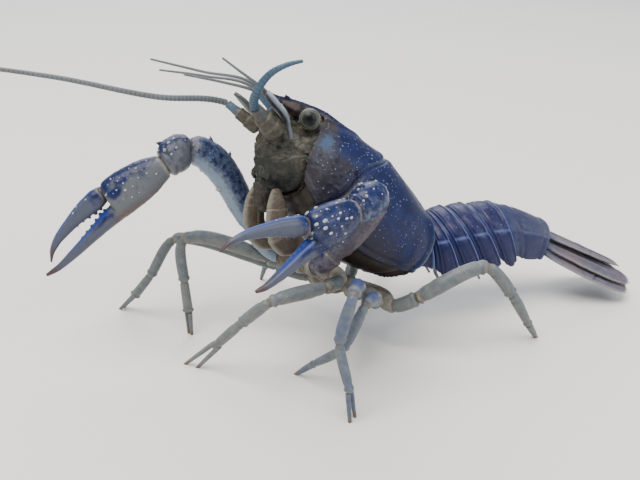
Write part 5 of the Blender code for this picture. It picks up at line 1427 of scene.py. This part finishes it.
# The narrow plate under the rostrum that carries the eyes and antennules.
EYE_PLATE = [(30.5, 2.2, 4.6, 0.0), (33.0, 2.2, 4.4, 0.0), (36.0, 2.0, 3.6, 0.0), (38.2, 1.5, 3.0, -0.5)]
JAWS = [(29.4, 1.2, -10.4, -12.2), (30.5, 1.6, -9.0, -13.4), (31.2, 1.7, -7.2, -13.6),
        (32.6, 1.7, -7.2, -13.4), (34.2, 1.4, -7.2, -12.0), (35.4, 0.9, -7.6, -10.4)]
# The jaw's palp folds over the lip, and the green gland opens on a small cone at each side.
PALP = [(35.0, 2.5, -8.6), (36.2, 1.6, -8.4), (36.9, 0.5, -7.6)]
PALP_SIZES = [(0, 0.55, 0.5), (1, 0.6, 0.5), (2, 0.35, 0.3)]
GLAND_AT = (36.0, 3.5, -5.6)
# The cheeks fill the hood behind the face, under the eyes.
CHEEKS = [(29.6, 6.8, 7.4, -8.2), (32.0, 6.7, 7.4, -8.4), (33.1, 6.5, 7.1, -8.6), (34.2, 6.0, 5.2, -8.6),
          (35.2, 5.3, 3.4, -8.4), (37.4, 3.9, 1.2, -7.0)]
skins = [upright_skin(CHEEKS, 34, 64, 0.92), upright_skin(HEAD_FRONT, 46, 64, 0.85),
         upright_skin(EYE_PLATE, 30, 40, 0.85), upright_skin(JAWS, 26, 36, 0.85)]
for sign in SIDES.values():
    palp = [mirrored(p, sign) for p in PALP]
    rings, _, _ = limb(palp, joint_ways(palp), THORAX_AXES[1], PALP_SIZES, 20, 18, span=(0, 2))
    skins.append(skin(rings))
    at = mirrored(GLAND_AT, sign)
    skins.append(spine(at, THORAX_AXES[0] * 0.4 + THORAX_AXES[1] * sign, 0.5, 0.5, 0.5))
points, faces, normals = sculpt(skins, 0.18, 3)
u, v, w = ((points - THORAX_AT) @ THORAX_AXES.T).T
in_front = step(30.6, 31.6, u)
carve = 0.10 * np.clip(wander(points, 0.8, 21) * 1.6 - 0.1, 0, 1) + 0.24 * wander(points, 2.2, 22)
carve -= 0.12 * hump(wander(points, 1.3, 26), 0.0, 0.10)
carve -= 0.30 * hump(w + 0.35 * (u - 36), -2.6, 0.32) * step(1.2, 2.0, np.abs(v))
carve -= 0.26 * hump(w, -6.6 + 0.12 * v * v, 0.30)
carve -= 0.35 * hump(v, 0.0, 0.22) * step(-7.4, -8.2, w)
carve -= 0.22 * hump(w, -9.9, 0.22)
points = points + normals * (carve * in_front)[:, None]
masks = {
    # the dark layer is painted shade: darker below the lip towards the mouth and along the carved creases
    "dark": np.maximum(step(-3.0, -7.0, w + 0.8 * wander(points, 1.4, 23)) * 0.8,
                       0.7 * hump(wander(points, 1.3, 26), 0.0, 0.12)),
    "tan": np.clip(wander(points, 1.1, 24) * 1.4, 0, 1) * step(-5.5, -3.0, w) + step(-9.6, -11.0, w),
    "pale": 0.25 * hump(w, -6.2 + 0.12 * v * v, 0.35)
            + 0.8 * np.clip(wander(points, 0.6, 25) * 2 - 0.5, 0, 1)}
# on the face the dark layer is painted shade round the mouth and in the creases
FACE_LAYERS = [("tan", "#51463d", 1.8), ("pale", "#5c5a50", 1.3), ("dark", "#242724", 1.2)]
# Weakly calcified, pigment-mottled chitin of the face: olive brown and damp.
face_shell = shell_finish("olive_face_chitin", "#4a483f", "#2a2b27", FACE_LAYERS, mottle=1.3, rough=0.46,
                          coat=0.05, flesh=0.04)
dress(piece("face_plate", points, faces, face_shell, masks), "face_olive", "head_front")


# Eyes
# Two stalked eyes that sit in notches beside the rostrum: a short olive stalk with a domed,
# faceted cornea, glass-clear over dark pigment.

EYE_AT, EYE_RADIUS = (36.3, 5.2, 3.9), 1.95
# Where the stalk's line starts, and how far behind the eye's middle the stalk itself runs.
STALK_FROM, STALK_RUN = (33.4, 2.9, 5.0), (2.7, 0.2)
STALK = [(0, 1.1, 1.1), (0.4, 1.3, 1.3), (0.8, 1.75, 1.75), (1.0, 1.9, 1.9)]
# The pigment shows black along the eye's own axis and paler round it.
EYE_AXIS = (0.42, 0.84, -0.34)
CORNEA_RINGS = [(0.0, "#040506"), (0.14, "#08090b"), (0.20, "#191d1f"), (0.32, "#272c2d"), (0.38, "#4b4e47"),
                (0.52, "#44463f"), (0.57, "#62655c"), (0.62, "#41423c"), (0.80, "#494439")]


def stalk_relief(s, q):
    """A collar under the cornea, a furrow behind it and faint folds along the stalk."""
    return 0.12 * hump(s, 0.86, 0.06) - 0.10 * hump(s, 0.68, 0.06) + 0.05 * np.sin(5 * q) * hump(s, 0.5, 0.2)


# Clear, thin cuticle in tiny facets over black pigment: glassy, but dull where it is seen edge on.
cornea, tree = blank("faceted_cornea")
look = add(tree, "ShaderNodeAttribute", attribute_name="off_axis").outputs["Fac"]
bands = add(tree, "ShaderNodeValToRGB", {"Fac": look})
ramp = bands.color_ramp
while len(ramp.elements) > 1:
    ramp.elements.remove(ramp.elements[-1])
ramp.elements[0].position, ramp.elements[0].color = CORNEA_RINGS[0][0], tone(CORNEA_RINGS[0][1])
for position, colour in CORNEA_RINGS[1:]:
    ramp.elements.new(position).color = tone(colour)
where = add(tree, "ShaderNodeTexCoord").outputs["Object"]
# The facets are 0.05 mm across in life and are drawn at 0.12 mm, so that they show at all.
facets = add(tree, "ShaderNodeTexVoronoi", {"Vector": where, "Scale": per_mm(0.12), "Randomness": 0.3})
bump = add(tree, "ShaderNodeBump", {"Height": facets.outputs["Distance"], "Distance": 0.004 * MM,
                                    "Strength": 0.6})
glass = add(tree, "ShaderNodeBsdfPrincipled",
            {"Base Color": bands.outputs[0], "Roughness": 0.42, "Normal": bump.outputs[0],
             "Coat Weight": 0.12, "Coat Roughness": 0.10, "Specular IOR Level": 0.12})
add(tree, "ShaderNodeOutputMaterial", {"Surface": glass.outputs[0]})
for side, sign in SIDES.items():
    centre, root = mirrored(EYE_AT, sign), mirrored(STALK_FROM, sign)
    way = unit(centre - root)
    axis = unit(np.array((EYE_AXIS[0], EYE_AXIS[1] * sign, EYE_AXIS[2])) @ THORAX_AXES)
    side_way = unit(np.cross(way, THORAX_AXES[0]))
    up_way = np.cross(way, side_way)
    rings = []
    for a in np.radians(np.linspace(-84, 84, 56)):
        section = oval(72, EYE_RADIUS * math.cos(a), EYE_RADIUS * math.cos(a))
        rings.append(centre + way * EYE_RADIUS * math.sin(a) + section[:, :1] * side_way
                     + section[:, 1:] * up_way)
    points, faces = skin(rings)
    off_axis = np.degrees(np.arccos(np.clip(unit(points - centre) @ axis, -1, 1))) / 120.0
    dress(piece(f"cornea_{side}", points, faces, cornea, {"off_axis": off_axis}), "eye_black", f"eye_{side}")
    stalk = [centre - way * behind for behind in STALK_RUN]
    rings, s, _ = limb(stalk, [way, way], THORAX_AXES[0], STALK, 30, 48, detail=stalk_relief)
    masks = ring_masks(rings, pale=hump(s, 0.88, 0.14), dark=0.7 * step(0.4, 0.0, s), tan=0.5)
    dress(piece(f"eye_stalk_{side}", *skin(rings), face_shell, masks), "face_olive")


# Antennae, antennules and scales
# The long antennae stand on three-jointed stems beside the mouth, each under a thin spined
# scale; the antennules fork between them. All the whips are made of short chitin rings.

PEDUNCLE_TIP = {"left": (45.6, 4.7, -1.6), "right": (45.8, 6.8, -0.6)}
PEDUNCLE_ROOT = {"left": (39.6, 3.7, -1.8), "right": (39.6, 3.5, -1.2)}
# A stem's rows for a size of 1: station, half width, half height; then each stem's size.
PEDUNCLE = [(0.0, 2.0, 1.9), (0.3, 2.1, 2.0), (0.38, 1.75, 1.7), (0.62, 1.75, 1.7), (0.7, 1.35, 1.3),
            (1.0, 1.1, 1.1)]
PEDUNCLE_SIZE = {"left": 1.0, "right": 0.7}
ANTENNULE = [(0.0, 0.9, 0.85), (0.45, 0.95, 0.9), (0.55, 0.75, 0.7), (1.0, 0.7, 0.7)]
ANTENNULE_ROOT, ANTENNULE_TIP = (38.6, 1.35, 2.5), (43.6, 1.6, 3.1)
# Each whip: the points it passes in the pose's frame, its radius at the root and at the tip.
FLAGELLUM = {
    "left": ([(-10.3, -7.4, 53.4), (-8.0, -8.6, 56.4), (-5.2, -9.0, 57.9), (-2.7, -9.0, 58.5)], 0.85, 0.28),
    "right": ([(-28.5, -1.0, 51.3), (-44.9, -4.5, 55.3), (-61.1, -8.0, 57.9), (-80.0, -12.0, 58.6)], 0.62,
              0.25)}
ANTENNULE_FLAGELLA = {
    "left": [[(-10.6, -0.6, 53.2), (-13.5, -1.9, 55.7), (-16.4, -2.6, 58.1)],
             [(-11.6, -1.6, 52.6), (-16.5, -4.4, 54.4), (-22.0, -8.0, 56.2)]],
    "right": [[(-12.0, 3.0, 52.9), (-20.7, 2.2, 55.1), (-29.3, 1.0, 57.4)],
              [(-12.2, 4.2, 52.1), (-20.9, 4.4, 54.0), (-28.7, 4.6, 55.0)]]}
# Blade rows: u, half width, middle, height.
SCALE_BLADE = [
    (37.2, 0.6, 5.3, -1.2), (39.0, 0.75, 5.2, 0.05), (40.4, 0.95, 5.2, 0.95), (42.0, 1.5, 5.4, 1.11),
    (44.2, 1.5, 5.3, 1.33), (45.6, 0.9, 5.6, 1.47), (46.2, 0.35, 6.0, 1.53)]
SCALE_THICK = 0.36


def whip_tree():
    """Geometry Nodes: a curve with a radius becomes a whip of short rings, each a little flared."""
    tree, given = growing_tree("ringed_whip", {"Ring length": "Float", "Flare": "Float", "Sides": "Int"})
    pace = add(tree, "ShaderNodeMath", {0: given["Ring length"], 1: 0.2}, operation="MULTIPLY").outputs[0]
    line = add(tree, "GeometryNodeMeshToCurve", {"Mesh": given["Geometry"]}).outputs[0]
    line = add(tree, "GeometryNodeResampleCurve", {"Curve": line, "Length": pace}, mode="LENGTH").outputs[0]
    radius = add(tree, "GeometryNodeInputNamedAttribute", {"Name": "thickness"},
                 data_type="FLOAT").outputs["Attribute"]
    length = add(tree, "GeometryNodeSplineParameter").outputs["Length"]
    turns = add(tree, "ShaderNodeMath", {0: length, 1: given["Ring length"]}, operation="DIVIDE").outputs[0]
    part = add(tree, "ShaderNodeMath", {0: turns}, operation="FRACT").outputs[0]
    flared = add(tree, "ShaderNodeMath", {0: part, 1: given["Flare"], 2: 0.94},
                 operation="MULTIPLY_ADD").outputs[0]
    scale = add(tree, "ShaderNodeMath", {0: radius, 1: flared}, operation="MULTIPLY").outputs[0]
    tint = add(tree, "GeometryNodeStoreNamedAttribute", {"Geometry": line, "Name": "ringed", "Value": part},
               data_type="FLOAT", domain="POINT").outputs[0]
    circle = add(tree, "GeometryNodeCurvePrimitiveCircle",
                 {"Resolution": given["Sides"], "Radius": 1.0}).outputs[0]
    tube = add(tree, "GeometryNodeCurveToMesh",
               {"Curve": tint, "Profile Curve": circle, "Scale": scale, "Fill Caps": True}).outputs[0]
    tube = add(tree, "GeometryNodeSetShadeSmooth", {"Geometry": tube}).outputs[0]
    return full_grown(tree, given, tube)


RINGED_WHIP = whip_tree()


def whip(name, start, way, waypoints, root, end, ring, finish):
    """A tapering whip from a start point through waypoints."""
    points = np.vstack((start, waypoints))
    ways = joint_ways(points)
    ways[0] = unit(way + 2.0 * ways[0])
    last = len(points) - 1
    stations = np.linspace(0, last, 160)
    radii = smooth([(0, root), (last * 0.3, root * 0.82), (last, end)], stations)[0]
    centres, _ = path(points, ways, stations)
    line = bpy.data.meshes.new(name)
    line.from_pydata(place(centres).tolist(), [(i, i + 1) for i in range(len(centres) - 1)], [])
    stored = line.attributes.new("thickness", "FLOAT", "POINT")
    stored.data.foreach_set("value", (radii * MM).astype(np.float32))
    return grown(name, line, RINGED_WHIP,
                 {"Ring length": ring * MM, "Flare": 0.14, "Sides": 12, "Finish": finish})


def whip_finish(name, base, shade):
    """Springy, thinly calcified rings, darker in the creases between them."""
    material, tree = blank(name)
    where = add(tree, "ShaderNodeTexCoord").outputs["Object"]
    cloud = add(tree, "ShaderNodeTexNoise", {"Vector": where, "Scale": per_mm(3.0), "Detail": 3.0})
    crease = add(tree, "ShaderNodeAttribute", attribute_name="ringed").outputs["Fac"]
    depth = add(tree, "ShaderNodeMapRange", {"Value": crease, "From Min": 0.25, "From Max": 0.0}).outputs[0]
    colour = add(tree, "ShaderNodeMix", {0: cloud.outputs["Fac"], 6: tone(base), 7: tone(shade)},
                 data_type="RGBA").outputs[2]
    dark = add(tree, "ShaderNodeMix", {0: depth, 6: colour, 7: [c * 0.45 for c in tone(shade)[:3]] + [1.0]},
               data_type="RGBA").outputs[2]
    shader = add(tree, "ShaderNodeBsdfPrincipled",
                 {"Base Color": dark, "Roughness": 0.40, "Coat Weight": 0.1,
                  "Coat Roughness": 0.15, "Specular IOR Level": 0.25, "Subsurface Weight": 0.1,
                  "Subsurface Radius": (1.0, 1.0, 1.0), "Subsurface Scale": 0.4 * MM})
    add(tree, "ShaderNodeOutputMaterial", {"Surface": shader.outputs[0]})
    return material


def stem_skins(base, tip, table, spans, rows, count, ends):
    """The joints of a feeler's stem, a skin for each span of it."""
    way = unit(tip - base)
    skins = []
    for span in spans:
        rings, _, _ = limb([base, tip], [way, way], THORAX_AXES[1], table, rows, count, span=span,
                           detail=jointed(*span, 0.6), ends=ends)
        skins.append(skin(rings))
    return skins


# Thin rings of chitin, wet and springy: the short whip is blue, the others grey with brown clouds.
blue_whip = whip_finish("grey_blue_whip_chitin", "#445b6d", "#334a5f")
pale_whip = whip_finish("pale_brown_whip_chitin", "#66727c", "#5d5a57")
STEM_LAYERS = [("pale", "#777468", 1.0), ("blue", "#54697f", 1.0), ("dark", "#2f3034", 1.0)]
# The stems' chitin: olive at the root and blue-grey towards the whip.
stem_shell = shell_finish("olive_stem_chitin", "#514d42", "#3e3b34", STEM_LAYERS, mottle=0.8, rough=0.42,
                          coat=0.05, flesh=0.05)
SCALE_LAYERS = [("dark", "#1a1d2c", 1.2), ("white", "#8b95a3", 1.4)]
# A thin, almost clear plate with a milky stripe along its stiff outer edge.
scale_shell = shell_finish("milky_scale_chitin", "#54575c", "#45474b", SCALE_LAYERS, mottle=0.9, rough=0.36,
                           coat=0.10, flesh=0.1)
for side, sign in SIDES.items():
    base, tip = mirrored(PEDUNCLE_ROOT[side], sign), mirrored(PEDUNCLE_TIP[side], sign)
    way = unit(tip - base)
    skins = stem_skins(base, tip, scaled(PEDUNCLE, PEDUNCLE_SIZE[side]),
                       ((0.0, 0.33), (0.36, 0.64), (0.67, 1.0)), 22, 40, (0.25, 0.2))
    points, faces, normals = sculpt(skins, 0.13, 2)
    points = points + normals * (0.07 * np.clip(wander(points, 0.6, 31) * 1.6, 0, 1))[:, None]
    t = ((points - base) @ way) / np.linalg.norm(tip - base)
    masks = {"pale": 0.35 * np.maximum(hump(t, 0.32, 0.04), hump(t, 0.63, 0.04)),
             "blue": step(0.5, 0.85, t) * (0.8 if side == "right" else 0.3),
             "dark": 0.6 * np.clip(wander(points, 0.9, 32) * 2, 0, 1) * step(0.6, 0.2, t)}
    dress(piece(f"antenna_stem_{side}", points, faces, stem_shell, masks), "face_olive",
          f"antenna_base_{side}")
    route, root, end = FLAGELLUM[side]
    item = whip(f"antenna_whip_{side}", tip + way * GAP, way, route, root, end, 0.75,
                blue_whip if side == "left" else pale_whip)
    dress(item, "antenna_blue", f"antenna_{side}")
    # scale: a thin blade that lies over the stem, stiff and spined at its outer edge
    rings = []
    stations = np.linspace(SCALE_BLADE[0][0], SCALE_BLADE[-1][0], 70)
    for u, half, middle, rise in zip(stations, *smooth(SCALE_BLADE, stations)):
        section = oval(48, half, SCALE_THICK, 0.75)
        y = section[:, 1] + 0.16 * hump(section[:, 0] / half, 0.62, 0.18) * (section[:, 1] > 0)
        rings.append(thorax([(u, sign * (middle + a), rise + b) for a, b in zip(section[:, 0], y)]))
    share = oval(48, 1.0, 1.0, 0.75)[:, 0]
    front = step(39.0, 42.5, stations)[:, None]
    masks = ring_masks(np.array(rings), white=step(0.30, 0.65, share) * (0.35 + 0.55 * front),
                       dark=hump(share, 0.1, 0.28) * (0.4 + 0.6 * front))
    dress(piece(f"antenna_scale_blade_{side}", *skin(rings), scale_shell, masks), "face_olive",
          f"antenna_scale_{side}")
    # antennule: a three-jointed stem with two fine whips
    base, tip = mirrored(ANTENNULE_ROOT, sign), mirrored(ANTENNULE_TIP, sign)
    way = unit(tip - base)
    spans = (0.0, 0.48), (0.5, 0.74), (0.76, 1.0)
    points, faces = join(stem_skins(base, tip, ANTENNULE, spans, 16, 24, (0.25, 0.25)))
    t = ((points - base) @ way) / np.linalg.norm(tip - base)
    masks = {"blue": step(0.1, 0.6, t), "pale": np.maximum(hump(t, 0.47, 0.05), hump(t, 0.73, 0.05))}
    dress(piece(f"antennule_stem_{side}", points, faces, stem_shell, masks), "antenna_blue",
          f"antennule_{side}")
    for number, waypoints in enumerate(ANTENNULE_FLAGELLA[side]):
        root = tip - way * 0.7 + THORAX_AXES[1] * 0.28 * (1, -1)[number]
        dress(whip(f"antennule_whip_{side}_{number + 1}", root, way, waypoints, 0.38, 0.18, 0.5, pale_whip),
              "antenna_blue")


# Outer jaw limbs
# The third maxillipeds, folded like two forearms under the mouth: broad tan chitin with pale
# edges, toothed and bristled along their inner edge.

MAXILLIPED_SIZES = [(0.0, 1.15, 1.35), (0.45, 1.5, 2.4), (0.95, 1.5, 2.4), (1.05, 1.4, 2.2),
                    (1.5, 1.45, 2.2), (2.0, 1.3, 2.0), (2.3, 1.2, 1.75), (2.7, 1.0, 1.3), (3.0, 0.8, 0.8)]
JAW_LIMB_PARTS = [("ischium", 0.0, 0.98), ("merus", 1.0, 1.97), ("carpus", 2.0, 2.42),
                  ("propodus", 2.44, 2.76), ("dactyl", 2.78, 3.0)]
JAW_LIMB_LAYERS = [("pale", "#77756c", 1.0), ("dark", "#3c352e", 1.4), ("rim", "#7d7667", 0.6)]
# Flat-faced tan chitin, smooth with a soft shine.
jaw_limb_shell = shell_finish("tan_jaw_limb_chitin", "#554c42", "#423b34", JAW_LIMB_LAYERS, mottle=1.1,
                              rough=0.44, coat=0.05, flesh=0.08)
for side, sign in SIDES.items():
    joints = [mirrored(p, sign) for p in MAXILLIPED]
    ways = joint_ways(joints)
    limb_line = trimmed(joints, ways, last=False)
    for part, begin, end in JAW_LIMB_PARTS:
        rings, s, q = limb(limb_line, ways, THORAX_AXES[1], MAXILLIPED_SIZES, 34, 44, span=(begin, end),
                           detail=jointed(begin, end, 0.45), ends=(0.3, 0.3))
        t = (s - begin) / (end - begin)
        edge = hump(np.abs(np.sin(q)), 1.0, 0.22)
        masks = ring_masks(rings, pale=0.8 * edge, rim=0.3 * hump(t, 0.97, 0.06),
                           dark=0.5 * hump(t, 0.5, 0.4) * (1 - edge))
        nodes = [f"maxilliped_{side}"] if part == "ischium" else []
        dress(piece(f"jaw_limb_{part}_{side}", *skin(rings), jaw_limb_shell, masks), "belly_tan", *nodes)
    stations = np.linspace(0.25, 2.7, 260)
    centres, turned = path(limb_line, ways, stations)
    inward = unit(np.cross(turned, np.cross(-sign * THORAX_AXES[1], turned)))
    reach = smooth(MAXILLIPED_SIZES, stations)[0][:, None] * 0.92
    bristles(f"jaw_limb_bristles_{side}", "belly_tan", centres + inward * reach, inward + 0.7 * turned,
             np.full(len(stations), 0.9), 1.2, 0.35, 19, bristle_skin)
